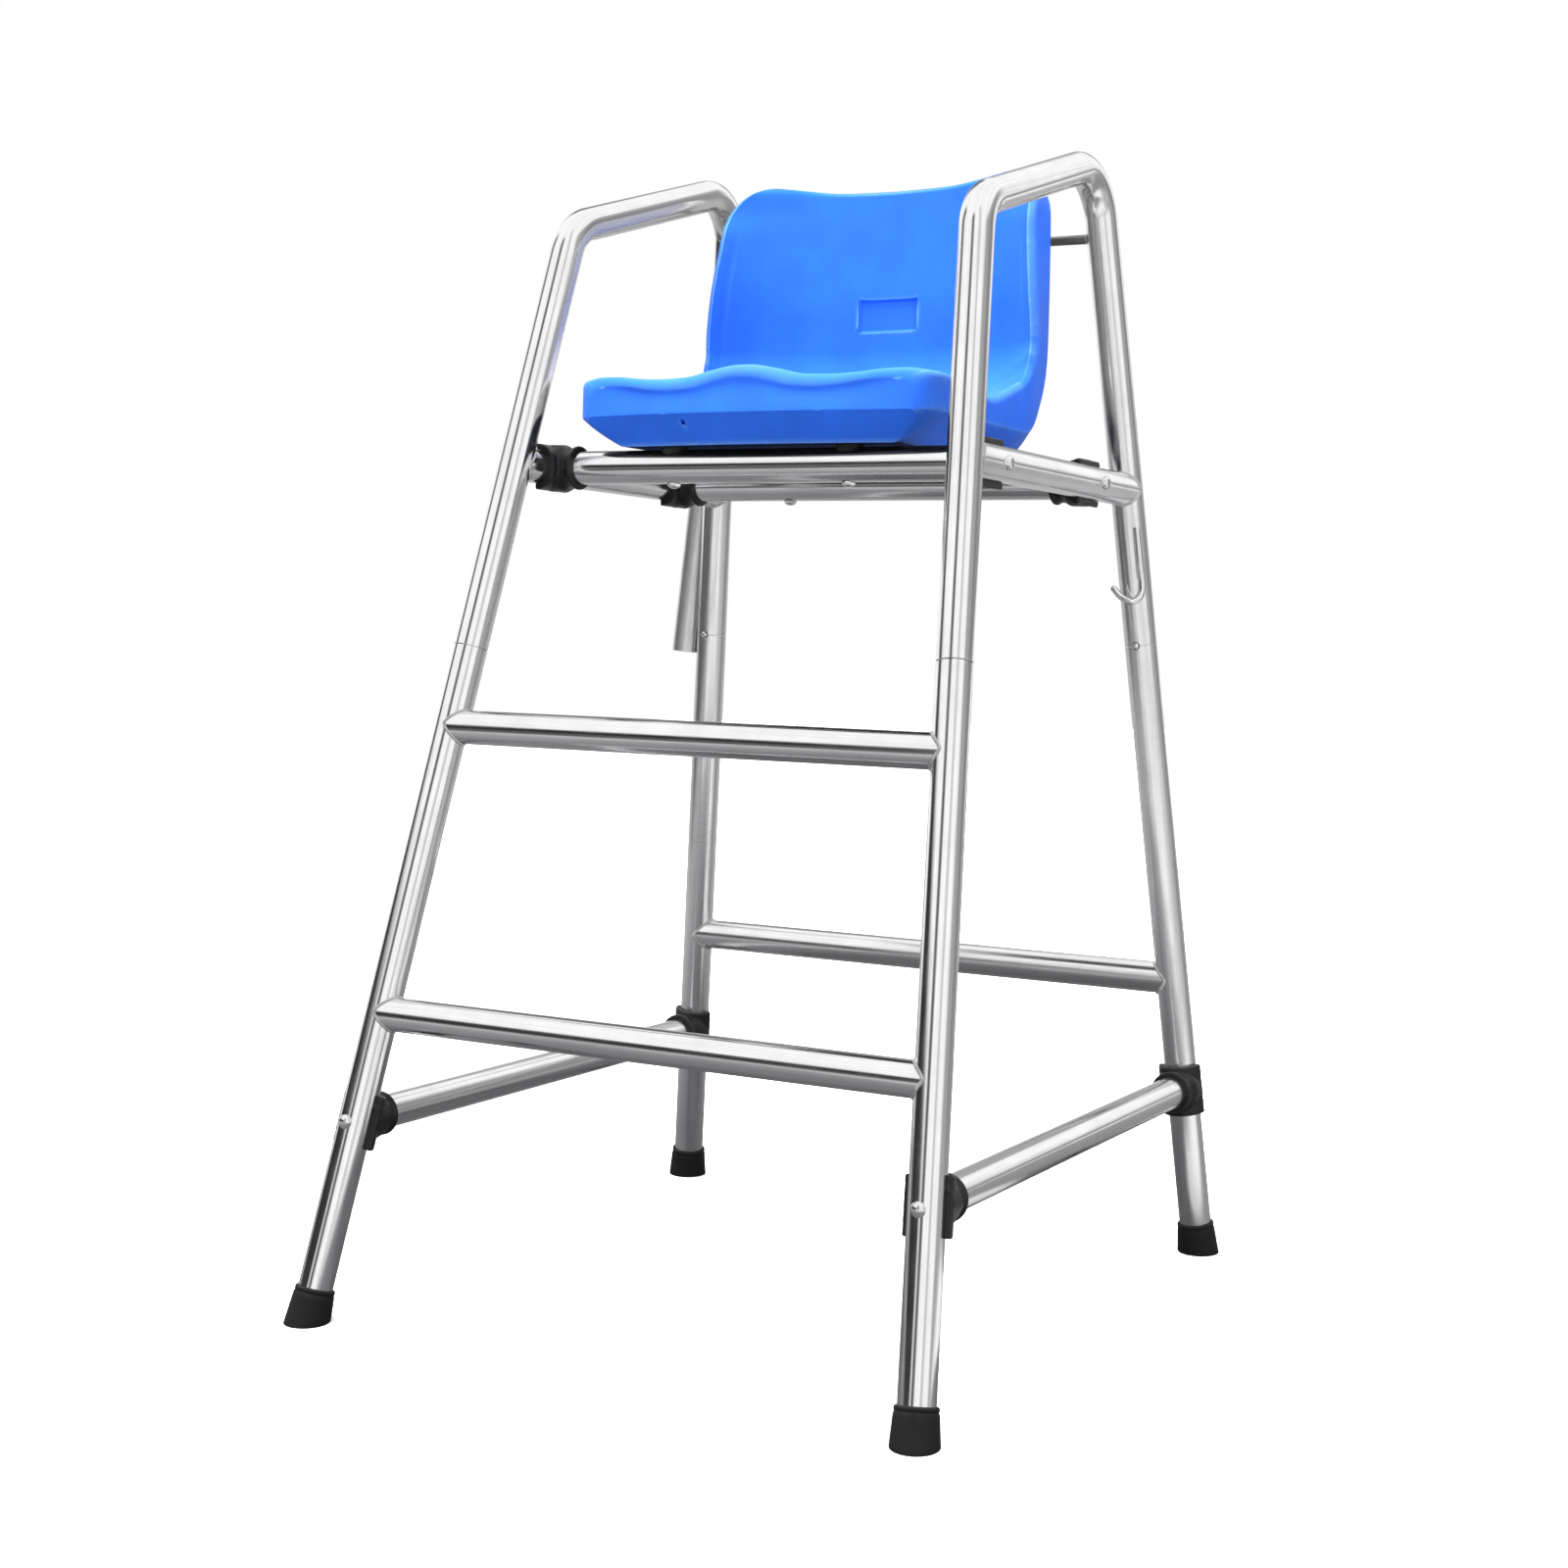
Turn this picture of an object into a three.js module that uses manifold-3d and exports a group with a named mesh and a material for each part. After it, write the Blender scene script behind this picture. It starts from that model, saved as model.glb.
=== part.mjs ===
// Lifeguard chair: a high bucket seat on a splayed tube frame with a two-rung ladder front.
// Millimetres. The floor is z = 0, the chair faces -Y, and the sitter's left is +X.
import * as THREE from 'three';
import { mergeVertices } from 'three/addons/utils/BufferGeometryUtils.js';
import Module from 'manifold-3d';

const wasm = await Module();
wasm.setup();

// Frame tube and the clearance that touching pieces keep
const tubeDiameter = 38;
const tubeWall = 1.5;
const fitGap = 0.3;
const cutOverrun = 2;

// Stance: each side frame lies in a plane that leans in, with one raked leg at each end
const footHalfSpread = 365.8;
const footDepths = { front: 395.9, rear: 397 };
const sideLeanDegrees = 5.32;
const frontRakeDegrees = 15.06;
const rearRakeDegrees = 5.42;

// Heights along the leaning side plane
const armFrontRise = 1212;
const armRearRise = 1306;
const armBendRadius = 55;
const railFrontRise = 941;
const railRearRise = 927;
const splitRises = { front: 733, rear: 745 };
const rungRises = { lower: 330.4, upper: 644.8 };
const crossbarRise = 340.5;
const sideRailRises = { front: 216, rear: 206 };
const tieRodRise = 1219;
const tieRodDiameter = 11;
const legEndRise = 10;

// Spring-button joint between the upper and lower leg tubes
const seamGap = 0.8;
const spigotReach = 60;
const spigotWall = 1.5;
const buttonDiameter = 8;
const buttonHoleDiameter = 10;
const buttonProud = 2.6;
const buttonFlangeDiameter = 12;
const buttonFlangeThickness = 1.2;
const buttonCrown = 1.4;
const springThickness = 0.8;
const springWidth = 7;
const springDrop = 42;
const springLift = 5;
const springFoot = 20;
const springBendRadius = 3;

// Black saddle fitting: a pad round half of the carrying tube and a collar for the branch tube
const padLength = 60;
const padThickness = 7;
const padEdgeSetback = 1.5;
const padCornerCut = 5;
const collarReach = 43;
const collarWall = 3.2;
const collarBead = 2.2;
const collarBeadWidth = 5;
const socketFloor = 27;
const plugThickness = 12;

// Dome-headed bolts
const boltDiameter = 8;
const boltHeadDiameter = 16;
const boltHeadHeight = 5.2;
const boltHeadSkirt = 3.4;

// Rubber feet
const footTopDiameter = 44;
const footSoleDiameter = 50;
const footSleeve = 38;
const footLip = 2;

// Seat tubes, counted from the middle of the seat along the rails
const seatMiddleBehind = 61;
const seatTubeHalfPitch = 135;
const seatBoltHalfPitch = 110;
const spacerDiameter = 30;
const spacerThickness = 2.4;
const spacerSkirt = 7;
const seatBoltBite = 14;

// Seat shell, measured from the seat tubes' centre lines
const seatHalfWidth = 222;
const seatFrontReach = 188;
const seatPivotBack = 85;
const seatPivotRise = 165;
const seatBackTop = 353;
const seatRearReach = 95;
const seatWall = 4;
const rimRadius = 8;
const baseHalfWidth = 168;
const creaseRise = 54;
const lipRise = 85;
const pommelRise = 21;
const frontBow = 20;
const frontCorner = 16;
const topCorner = 42;
const apronRun = 30;
const backCornerRise = 10.5;
const ventDiameter = 4;
const ventOffset = 78.7;
const ventRise = 45;
const ventDepth = 20;
const bossDiameter = 26;
const bossHeight = 24;
const badgeWidth = 75;
const badgeHeight = 37;
const badgeDepth = 1.6;
const badgeRise = 204;

// Umbrella tube and bag hook on the rear legs
const holderDiameter = 34;
const holderWall = 1.5;
const holderBottomRise = 717;
const holderLength = 232;
const holderTiltDegrees = 7.7;
const holderCrossing = 40;
const lugRise = 905;
const lugHeight = 26;
const lugThickness = 5;
const hookDiameter = 7.6;
const hookTopRise = 884;
const hookShank = 72;
const hookBearingDegrees = 50;
const hookDrop = 14;
const hookSwing = 31;
const hookReturn = 29;
const hookTipOffset = 17;
const hookTipRise = 4;
// Curl of the hook: shares of its swing, of its reach ahead of the leg and of its drop
const hookCurlShares = [[0.42, 0.8, 0.72], [0.16, 1, 1], [-0.25, 0.99, 0.5]];

// Facets
const tubeSides = 16;
const smallSides = 8;
const bendSteps = 5;
const hookSteps = 15;

const tubeRadius = tubeDiameter / 2;
const boreRadius = tubeRadius - tubeWall;
const seatRadius = tubeRadius + fitGap;
const boltRadius = boltDiameter / 2;
const boltHoleRadius = boltRadius + fitGap;
const sides = { left: 1, right: -1 };
const up = new THREE.Vector3(0, 0, 1);

const radians = THREE.MathUtils.degToRad;
const lean = radians(sideLeanDegrees);
const rakes = { front: radians(frontRakeDegrees), rear: radians(rearRakeDegrees) };

const finishes = {
  steel: { color: 0xc9cccd, roughness: 0.24, metalness: 1 },
  zinc: { color: 0xd4d6d6, roughness: 0.3, metalness: 1 },
  spring: { color: 0x8d9194, roughness: 0.35, metalness: 1 },
  fitting: { color: 0x1d1e20, roughness: 0.5, metalness: 0 },
  rubber: { color: 0x161617, roughness: 0.8, metalness: 0 },
  seat: { color: 0x2f78f0, roughness: 0.42, metalness: 0 },
};

const chair = new THREE.Group();
chair.name = 'lifeguard_chair';

// Adds one named piece whose geometry is given in its own frame
function addPiece(name, geometry, finish, place = new THREE.Matrix4()) {
  const mesh = new THREE.Mesh(geometry, new THREE.MeshStandardMaterial(finishes[finish]));
  mesh.name = name;
  mesh.applyMatrix4(place);
  chair.add(mesh);
}

function toSolid(geometry) {
  const bare = geometry.clone();
  bare.deleteAttribute('normal');
  bare.deleteAttribute('uv');
  const merged = mergeVertices(bare);
  return new wasm.Manifold(new wasm.Mesh({
    numProp: 3,
    vertProperties: new Float32Array(merged.attributes.position.array),
    triVerts: new Uint32Array(merged.index.array),
  }));
}

function toGeometry(body) {
  const mesh = body.getMesh();
  const geometry = new THREE.BufferGeometry();
  geometry.setAttribute('position', new THREE.BufferAttribute(new Float32Array(mesh.vertProperties), 3));
  geometry.setIndex(new THREE.BufferAttribute(new Uint32Array(mesh.triVerts), 1));
  const flat = geometry.toNonIndexed();
  flat.computeVertexNormals();
  return flat;
}

function join(first, ...others) {
  return others.reduce((body, other) => body.add(toSolid(other)), toSolid(first));
}

function cut(first, ...cutters) {
  const start = first.isBufferGeometry ? toSolid(first) : first;
  return toGeometry(cutters.reduce((body, cutter) => body.subtract(toSolid(cutter)), start));
}

// A place whose origin is at one point and whose +Z looks at another, with +X near a chosen side
function aim(from, to, near = new THREE.Vector3(1, 0, 0)) {
  const z = to.clone().sub(from).normalize();
  const y = z.clone().cross(near).normalize();
  const x = y.clone().cross(z);
  return new THREE.Matrix4().makeBasis(x, y, z).setPosition(from);
}

// Moves a geometry that is given in one place's frame into another's
function moved(geometry, from, into = new THREE.Matrix4()) {
  return geometry.clone().applyMatrix4(into.clone().invert().multiply(from));
}

// Revolves pairs of radius and height about +Z
function turned(profile, segments = tubeSides) {
  const points = profile.map(([radius, height]) => new THREE.Vector2(radius, height));
  return new THREE.LatheGeometry(points, segments).rotateX(Math.PI / 2);
}

function rod(radius, low, high, segments = tubeSides) {
  return turned([[0, low], [radius, low], [radius, high], [0, high]], segments);
}

// A faceted hole whose flats lie on its radius, so that a round piece of that radius fits in it
function hole(radius, low, high, segments = tubeSides) {
  return rod(outside(radius, segments), low, high, segments);
}

function outside(radius, segments) {
  return radius / Math.cos(Math.PI / segments);
}

function pipe(outer, bore, low, high) {
  const inner = outside(bore, tubeSides);
  return turned([[inner, low], [outer, low], [outer, high], [inner, high], [inner, low]]);
}

function block(width, depth, height, x, y, z) {
  return new THREE.BoxGeometry(width, depth, height).translate(x, y, z);
}

// A path of straight runs and round bends, stepped only where it bends
class BentPath extends THREE.Curve {
  constructor(corners, radius, steps = bendSteps) {
    super();
    this.stations = [corners[0]];
    for (let i = 1; i < corners.length - 1; i += 1) {
      this.addBend(corners[i - 1], corners[i], corners[i + 1], radius, steps);
    }
    this.stations.push(corners[corners.length - 1]);
  }

  addBend(before, corner, after, radius, steps) {
    const back = before.clone().sub(corner).normalize();
    const ahead = after.clone().sub(corner).normalize();
    const halfAngle = back.angleTo(ahead) / 2;
    const middle = back.clone().add(ahead).normalize();
    const centre = corner.clone().addScaledVector(middle, radius / Math.sin(halfAngle));
    const inward = middle.clone().negate();
    const across = ahead.clone().addScaledVector(middle, -ahead.dot(middle)).normalize();
    const halfTurn = Math.PI / 2 - halfAngle;
    for (let i = 0; i <= steps; i += 1) {
      const angle = halfTurn * (2 * i / steps - 1);
      this.stations.push(centre.clone()
        .addScaledVector(inward, radius * Math.cos(angle))
        .addScaledVector(across, radius * Math.sin(angle)));
    }
  }

  getPoint(t, target = new THREE.Vector3()) {
    const spot = t * (this.stations.length - 1);
    const index = Math.min(Math.floor(spot), this.stations.length - 2);
    return target.lerpVectors(this.stations[index], this.stations[index + 1], spot - index);
  }

  getUtoTmapping(u) {
    return u;
  }
}

function circle(radius, count) {
  return Array.from({ length: count }, (_, i) => {
    const angle = 2 * Math.PI * i / count;
    return new THREE.Vector2(radius * Math.cos(angle), radius * Math.sin(angle));
  });
}

function sweep(section, path) {
  const steps = path.stations.length - 1;
  return new THREE.ExtrudeGeometry(section, { steps, bevelEnabled: false, extrudePath: path });
}

// The leaning plane of one side frame: its own Y runs back and its own Z up the lean
function sidePlane(side) {
  const place = new THREE.Matrix4().makeRotationY(-side * lean);
  return place.setPosition(side * footHalfSpread, 0, 0);
}

function legInPlane(end, rise) {
  const back = end === 'front'
    ? rise * Math.tan(rakes.front) - footDepths.front
    : footDepths.rear - rise * Math.tan(rakes.rear);
  return new THREE.Vector3(0, back, rise);
}

function legPoint(side, end, rise) {
  return legInPlane(end, rise).applyMatrix4(sidePlane(side));
}

// A leg's own frame at one rise: +Z up the tube and +X out of the side plane
function legPlace(side, end, rise) {
  const out = new THREE.Vector3(side, 0, 0).transformDirection(sidePlane(side));
  return aim(legPoint(side, end, rise), legPoint(side, end, armRearRise), out);
}

function legCutter(side, end) {
  const place = legPlace(side, end, 0);
  return moved(hole(seatRadius, -armRearRise, armRearRise), place);
}

// The button of a front leg faces back, and that of a rear leg faces forward
function buttonPlace(side, end) {
  const seam = legPlace(side, end, splitRises[end]);
  const centre = new THREE.Vector3().setFromMatrixPosition(seam);
  const along = new THREE.Vector3(0, 0, 1).transformDirection(seam);
  const out = new THREE.Vector3(side, 0, 0).transformDirection(sidePlane(side));
  const facing = out.clone().cross(along).normalize();
  const wanted = end === 'front' ? 1 : -1;
  facing.multiplyScalar(Math.sign(facing.y) * wanted);
  return aim(centre, centre.clone().add(facing), along);
}

function buttonHole(side, end, diameter) {
  return moved(hole(diameter / 2, 0, tubeDiameter, smallSides), buttonPlace(side, end));
}

// One bent tube: upper front leg, armrest and upper rear leg
function sideFrame(side) {
  const halfSeam = seamGap / 2;
  const frontEnd = legInPlane('front', splitRises.front + halfSeam);
  const rearEnd = legInPlane('rear', splitRises.rear + halfSeam);
  const corners = [
    frontEnd,
    legInPlane('front', armFrontRise),
    legInPlane('rear', armRearRise),
    rearEnd,
  ];
  const section = new THREE.Shape(circle(tubeRadius, tubeSides));
  section.holes.push(new THREE.Path(circle(outside(boreRadius, tubeSides), tubeSides).reverse()));
  const tube = sweep(section, new BentPath(corners, armBendRadius));
  const plane = sidePlane(side);
  const holes = ['front', 'rear'].map((end) => moved(
    buttonHole(side, end, buttonHoleDiameter), new THREE.Matrix4(), plane));
  return cut(tube, ...holes);
}

// A tube between two points on other tubes, coped to them at both ends
function copedTube(from, to, cutters, near) {
  const place = aim(from, to, near);
  const length = from.distanceTo(to);
  const tube = pipe(tubeRadius, boreRadius, 0, length);
  const local = cutters.map((cutter) => moved(cutter, new THREE.Matrix4(), place));
  return { place, geometry: cut(tube, ...local) };
}

// A branch tube that ends in two saddle sockets, with a drilled plug in each end
function branchTube(from, to, holes) {
  const place = aim(from, to, up);
  const start = socketFloor + fitGap;
  const end = from.distanceTo(to) - start;
  const tube = cut(rod(tubeRadius, start, end),
    rod(boreRadius, start + plugThickness, end - plugThickness),
    hole(boltHoleRadius, 0, from.distanceTo(to), smallSides));
  const local = holes.map((hole) => moved(hole, new THREE.Matrix4(), place));
  return { place, geometry: local.length > 0 ? cut(tube, ...local) : tube };
}

// Saddle frame: origin on the carrying tube's centre line, +Z along the branch, +X near the carrier
function saddlePlace(point, branchPoint, carrierDirection) {
  return aim(point, branchPoint, carrierDirection);
}

function carrierCutter(point, direction, place, radius) {
  const far = point.clone().add(direction);
  const line = aim(point, far, new THREE.Vector3().setFromMatrixColumn(place, 2));
  return moved(hole(radius, -padLength, padLength), line, place);
}

function saddle(point, direction, place) {
  const line = aim(point, point.clone().add(direction), new THREE.Vector3().setFromMatrixColumn(place, 2));
  const padRadius = seatRadius + padThickness;
  const half = padLength / 2;
  const corner = padRadius - padCornerCut / 2;
  const pad = turned([[0, -half], [corner, -half], [padRadius, padCornerCut / 2 - half],
    [padRadius, half - padCornerCut / 2], [corner, half], [0, half]]);
  const back = block(2 * padRadius, 3 * padRadius, 2 * padLength,
    padEdgeSetback - padRadius, 0, 0);
  const bodyRadius = seatRadius + collarWall;
  const beadRadius = bodyRadius + collarBead;
  const beadStart = collarReach - collarBeadWidth;
  const beadSlope = collarBead / 2;
  const collar = turned([[0, 0], [bodyRadius, 0], [bodyRadius, beadStart - beadSlope],
    [beadRadius, beadStart + beadSlope], [beadRadius, collarReach], [0, collarReach]]);
  const padBody = cut(pad, back);
  return cut(join(moved(padBody, line, place), collar),
    carrierCutter(point, direction, place, seatRadius),
    hole(seatRadius, socketFloor, collarReach + cutOverrun),
    hole(boltHoleRadius, -tubeDiameter, tubeDiameter, smallSides));
}

// Dome head seated on the far side of the carrying tube, and its shank through to the branch plug
function throughBolt(point, direction, place, shankEnd) {
  const top = tubeRadius + fitGap + boltHeadHeight;
  const headRadius = boltHeadDiameter / 2;
  const skirt = tubeRadius - boltHeadSkirt;
  const crown = Array.from({ length: 4 }, (_, i) => {
    const angle = Math.PI / 2 * i / 3;
    return [headRadius * Math.cos(angle), -top + boltHeadHeight * (1 - Math.sin(angle))];
  });
  crown[3][0] = 0;
  const profile = [[0, -skirt], [headRadius, -skirt], ...crown];
  const head = cut(turned(profile.reverse(), smallSides),
    carrierCutter(point, direction, place, seatRadius));
  return toGeometry(join(head, rod(boltRadius, -top + boltHeadHeight / 2, shankEnd, smallSides)));
}

function boltHole(place) {
  return moved(hole(boltHoleRadius, -tubeDiameter, tubeDiameter, smallSides), place);
}

// Rubber foot on a raked leg, cut flat at the floor
function foot(place) {
  const sole = -footSoleDiameter;
  const top = footSleeve;
  const topRadius = footTopDiameter / 2;
  const soleRadius = footSoleDiameter / 2;
  const spread = soleRadius + (soleRadius - topRadius) * footSoleDiameter / footSleeve;
  const body = turned([[0, sole], [spread, sole], [topRadius, top - footLip],
    [topRadius - footLip / 2, top], [0, top]]);
  const { x, y } = new THREE.Vector3().setFromMatrixPosition(place);
  const ground = block(4 * footSoleDiameter, 4 * footSoleDiameter, 4 * footSoleDiameter,
    x, y, -2 * footSoleDiameter);
  return cut(body, moved(ground, new THREE.Matrix4(), place),
    hole(seatRadius, legEndRise - fitGap, top + cutOverrun));
}

function springButton() {
  const flangeTop = buttonFlangeSeat();
  const stem = buttonDiameter / 2;
  const tip = tubeRadius + buttonProud;
  const flange = buttonFlangeDiameter / 2;
  const flangeBase = flangeTop - buttonFlangeThickness;
  return turned([[0, flangeBase], [flange, flangeBase], [flange, flangeTop], [stem, flangeTop],
    [stem, tip - buttonCrown], [stem * Math.cos(Math.PI / 6), tip - buttonCrown / 2],
    [stem / 2, tip], [0, tip]], smallSides);
}

// Where the flange stops under the curved inner wall of the spigot
function buttonFlangeSeat() {
  const bore = boreRadius - fitGap - spigotWall;
  return Math.sqrt(bore ** 2 - (buttonFlangeDiameter / 2) ** 2) - fitGap;
}

// Leaf spring in the spigot: behind the button, down the tube and back up the far wall
function buttonSpring() {
  const near = buttonFlangeSeat() - buttonFlangeThickness - fitGap - springThickness / 2;
  const bore = boreRadius - fitGap - spigotWall;
  const far = -Math.sqrt(bore ** 2 - (springWidth / 2) ** 2) + fitGap + springThickness / 2;
  const corners = [
    new THREE.Vector3(springLift, 0, near),
    new THREE.Vector3(-springLift, 0, near),
    new THREE.Vector3(-springDrop, 0, far),
    new THREE.Vector3(springFoot - springDrop, 0, far),
  ];
  const halfThickness = springThickness / 2;
  const halfWidth = springWidth / 2;
  const section = new THREE.Shape([
    new THREE.Vector2(-halfThickness, -halfWidth),
    new THREE.Vector2(halfThickness, -halfWidth),
    new THREE.Vector2(halfThickness, halfWidth),
    new THREE.Vector2(-halfThickness, halfWidth),
  ]);
  return sweep(section, new BentPath(corners, springBendRadius, 3));
}

// Straight upper-to-lower leg joint: spigot, button and leaf spring
function addLegJoint(sideName, side, end) {
  const seam = legPlace(side, end, splitRises[end]);
  const outer = boreRadius - fitGap;
  const tube = pipe(outer, outer - spigotWall, -spigotReach, spigotReach);
  const hole = moved(buttonHole(side, end, buttonDiameter + 2 * fitGap), new THREE.Matrix4(), seam);
  const button = buttonPlace(side, end);
  addPiece(`leg_spigot_${end}_${sideName}`, cut(tube, hole), 'zinc', seam);
  addPiece(`spring_button_${end}_${sideName}`, springButton(), 'zinc', button);
  addPiece(`button_spring_${end}_${sideName}`, buttonSpring(), 'spring', button);
}

function addLowerLeg(sideName, side, end, saddleAt) {
  const place = legPlace(side, end, 0);
  const rake = rakes[end];
  const top = splitRises[end] / Math.cos(rake) - seamGap / 2;
  const tube = pipe(tubeRadius, boreRadius, legEndRise, top);
  const holes = [buttonHole(side, end, buttonHoleDiameter), boltHole(saddleAt)];
  const local = holes.map((hole) => moved(hole, new THREE.Matrix4(), place));
  addPiece(`lower_leg_${end}_${sideName}`, cut(tube, ...local), 'steel', place);
  addPiece(`rubber_foot_${end}_${sideName}`, foot(place), 'rubber', place);
}

// Bolt and saddle at one end of a branch tube
function addSaddle(name, point, direction, place) {
  addPiece(`saddle_${name}`, saddle(point, direction, place), 'fitting', place);
  const shankEnd = socketFloor + fitGap + plugThickness;
  addPiece(`dome_bolt_${name}`, throughBolt(point, direction, place, shankEnd), 'zinc', place);
}

// Lower side rail with its saddles on the two legs of one side
function addLowerSide(sideName, side) {
  const ends = ['front', 'rear'];
  const points = ends.map((end) => legPoint(side, end, sideRailRises[end]));
  const places = ends.map((end, i) => saddlePlace(points[i], points[1 - i], legDirection(side, end)));
  ends.forEach((end, i) => {
    addSaddle(`${end}_${sideName}`, points[i], legDirection(side, end), places[i]);
    addLowerLeg(sideName, side, end, places[i]);
  });
  const rail = branchTube(points[0], points[1], []);
  addPiece(`side_rail_${sideName}`, rail.geometry, 'steel', rail.place);
}

function legDirection(side, end) {
  return legPoint(side, end, armRearRise).sub(legPoint(side, end, 0)).normalize();
}

function railEnds(side) {
  return [legPoint(side, 'front', railFrontRise), legPoint(side, 'rear', railRearRise)];
}

// The point of a seat rail's centre line at one distance behind the frame's middle
function railPoint(side, behind) {
  const [front, rear] = railEnds(side);
  return front.clone().lerp(rear, (behind - front.y) / (rear.y - front.y));
}

// Frame of the seat: origin midway between the seat tubes, +Y back along the rails
function seatPlace() {
  const middle = railPoint(1, seatMiddleBehind);
  middle.x = 0;
  const [front, rear] = railEnds(1);
  const slope = Math.atan2(rear.z - front.z, rear.y - front.y);
  return new THREE.Matrix4().makeRotationX(slope).setPosition(middle);
}

// Crossing of a seat tube's centre line with a rail's
function tubeEnd(side, row) {
  const behind = new THREE.Vector3(0, row * seatTubeHalfPitch, 0).applyMatrix4(seatPlace()).y;
  return railPoint(side, behind);
}

function seatBoltPlace(side, row) {
  const place = seatPlace();
  const foot = new THREE.Vector3(side * seatBoltHalfPitch, row * seatTubeHalfPitch, 0);
  return place.multiply(new THREE.Matrix4().makeTranslation(foot.x, foot.y, foot.z));
}

function addSeatRail(sideName, side) {
  const [front, rear] = railEnds(side);
  const holes = [-1, 1].map((row) => boltHole(
    saddlePlace(tubeEnd(side, row), tubeEnd(-side, row), rear.clone().sub(front))));
  const cutters = [legCutter(side, 'front'), legCutter(side, 'rear'), ...holes];
  const rail = copedTube(front, rear, cutters);
  addPiece(`seat_rail_${sideName}`, rail.geometry, 'steel', rail.place);
}

function addSeatTube(rowName, row) {
  const left = tubeEnd(1, row);
  const right = tubeEnd(-1, row);
  const holes = [1, -1].map((side) => boltHole(seatBoltPlace(side, row)));
  const tube = branchTube(right, left, holes);
  addPiece(`seat_tube_${rowName}`, tube.geometry, 'steel', tube.place);
  for (const [sideName, side] of Object.entries(sides)) {
    const [front, rear] = railEnds(side);
    const point = tubeEnd(side, row);
    const place = saddlePlace(point, tubeEnd(-side, row), rear.clone().sub(front));
    addSaddle(`seat_${rowName}_${sideName}`, point, rear.clone().sub(front).normalize(), place);
    addSeatMount(`${rowName}_${sideName}`, seatBoltPlace(side, row));
  }
}

// Rubber spacer on the seat tube, and the bolt that comes up through both into the seat
function addSeatMount(name, place) {
  const baseRise = tubeRadius + spacerThickness;
  const tubeLine = hole(seatRadius, -spacerDiameter, spacerDiameter).rotateY(Math.PI / 2);
  const spacer = cut(rod(spacerDiameter / 2, tubeRadius - spacerSkirt, baseRise),
    tubeLine, hole(boltHoleRadius, 0, baseRise + cutOverrun, smallSides));
  addPiece(`seat_spacer_${name}`, spacer, 'rubber', place);
  const centre = new THREE.Vector3().setFromMatrixPosition(place);
  const across = new THREE.Vector3(1, 0, 0).transformDirection(place);
  const bolt = throughBolt(centre, across, place, baseRise + seatBoltBite);
  addPiece(`seat_bolt_${name}`, bolt, 'zinc', place);
}

// Smooth curve through share pairs, level at each of them
function eased(pairs, at) {
  const last = pairs.length - 1;
  const clamped = Math.min(Math.max(at, pairs[0][0]), pairs[last][0]);
  const next = Math.max(1, pairs.findIndex(([where]) => where >= clamped));
  const [startAt, startValue] = pairs[next - 1];
  const [endAt, endValue] = pairs[next];
  const share = (clamped - startAt) / (endAt - startAt);
  const soft = share * share * (3 - 2 * share);
  return startValue + (endValue - startValue) * soft;
}

// The shell is lofted through stations: 0 to 1 along the pan, 1 to 2 round the bend, 2 to 3 up the back.
// Shares of the half width, the lip's rise and the pivot's rise.
const halfWidthShares = [[0, 1], [0.4, 1], [1, 0.99], [1.6, 1.01], [2, 1.02], [2.3, 0.99],
  [2.7, 0.94], [3, 0.92]];
const rearWidthShares = [[0, 1], [1, 0.98], [1.5, 0.93], [2, 0.93], [2.7, 0.925], [3, 0.91]];
const rimDepthShares = [[0, 0.485], [0.15, 0.49], [0.6, 0.505], [0.85, 0.42], [1, 0.33], [1.5, 0.165],
  [2, 0.11], [2.25, 0.1], [2.7, 0.16], [2.87, 0.25], [2.96, 0.32], [3, 0.4]];
const dishDepthShares = [[0, 0.46], [0.25, 0.49], [0.7, 0.525], [1, 0.51], [1.5, 0.49], [2, 0.475],
  [2.25, 0.47], [2.7, 0.5], [3, 0.525]];
const lipWaveShares = [[0, 1], [0.17, 0.78], [0.36, 0.42], [0.5, 0.38], [0.64, 0.45], [0.78, 0.6],
  [0.9, 0.64], [1, 0.5]];
const topWaveShares = [[0, 0], [0.3, 0.14], [0.72, 1], [1, 0.6]];
const acrossShares = [0, 0.2, 0.4, 0.58, 0.74, 0.86, 0.95, 1];
const baseShares = [0, 0.35, 0.7, 0.93];
const flankShares = [[0.35, 0.42], [0.7, 0.78]];
const backCreaseShare = 0.86;
const backChamferShare = 0.06;
const lipBlendShares = [[0.1, 0], [0.72, 1]];
const wingPower = 3.4;
const outerPower = 4;
const crownSteps = 3;

// How far a station near an open end is drawn in, as a quarter round would
function roundIn(distance, radius) {
  const share = Math.min(Math.max(1 - distance / radius, 0), 1);
  return radius * (1 - Math.sqrt(1 - share * share));
}

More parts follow.
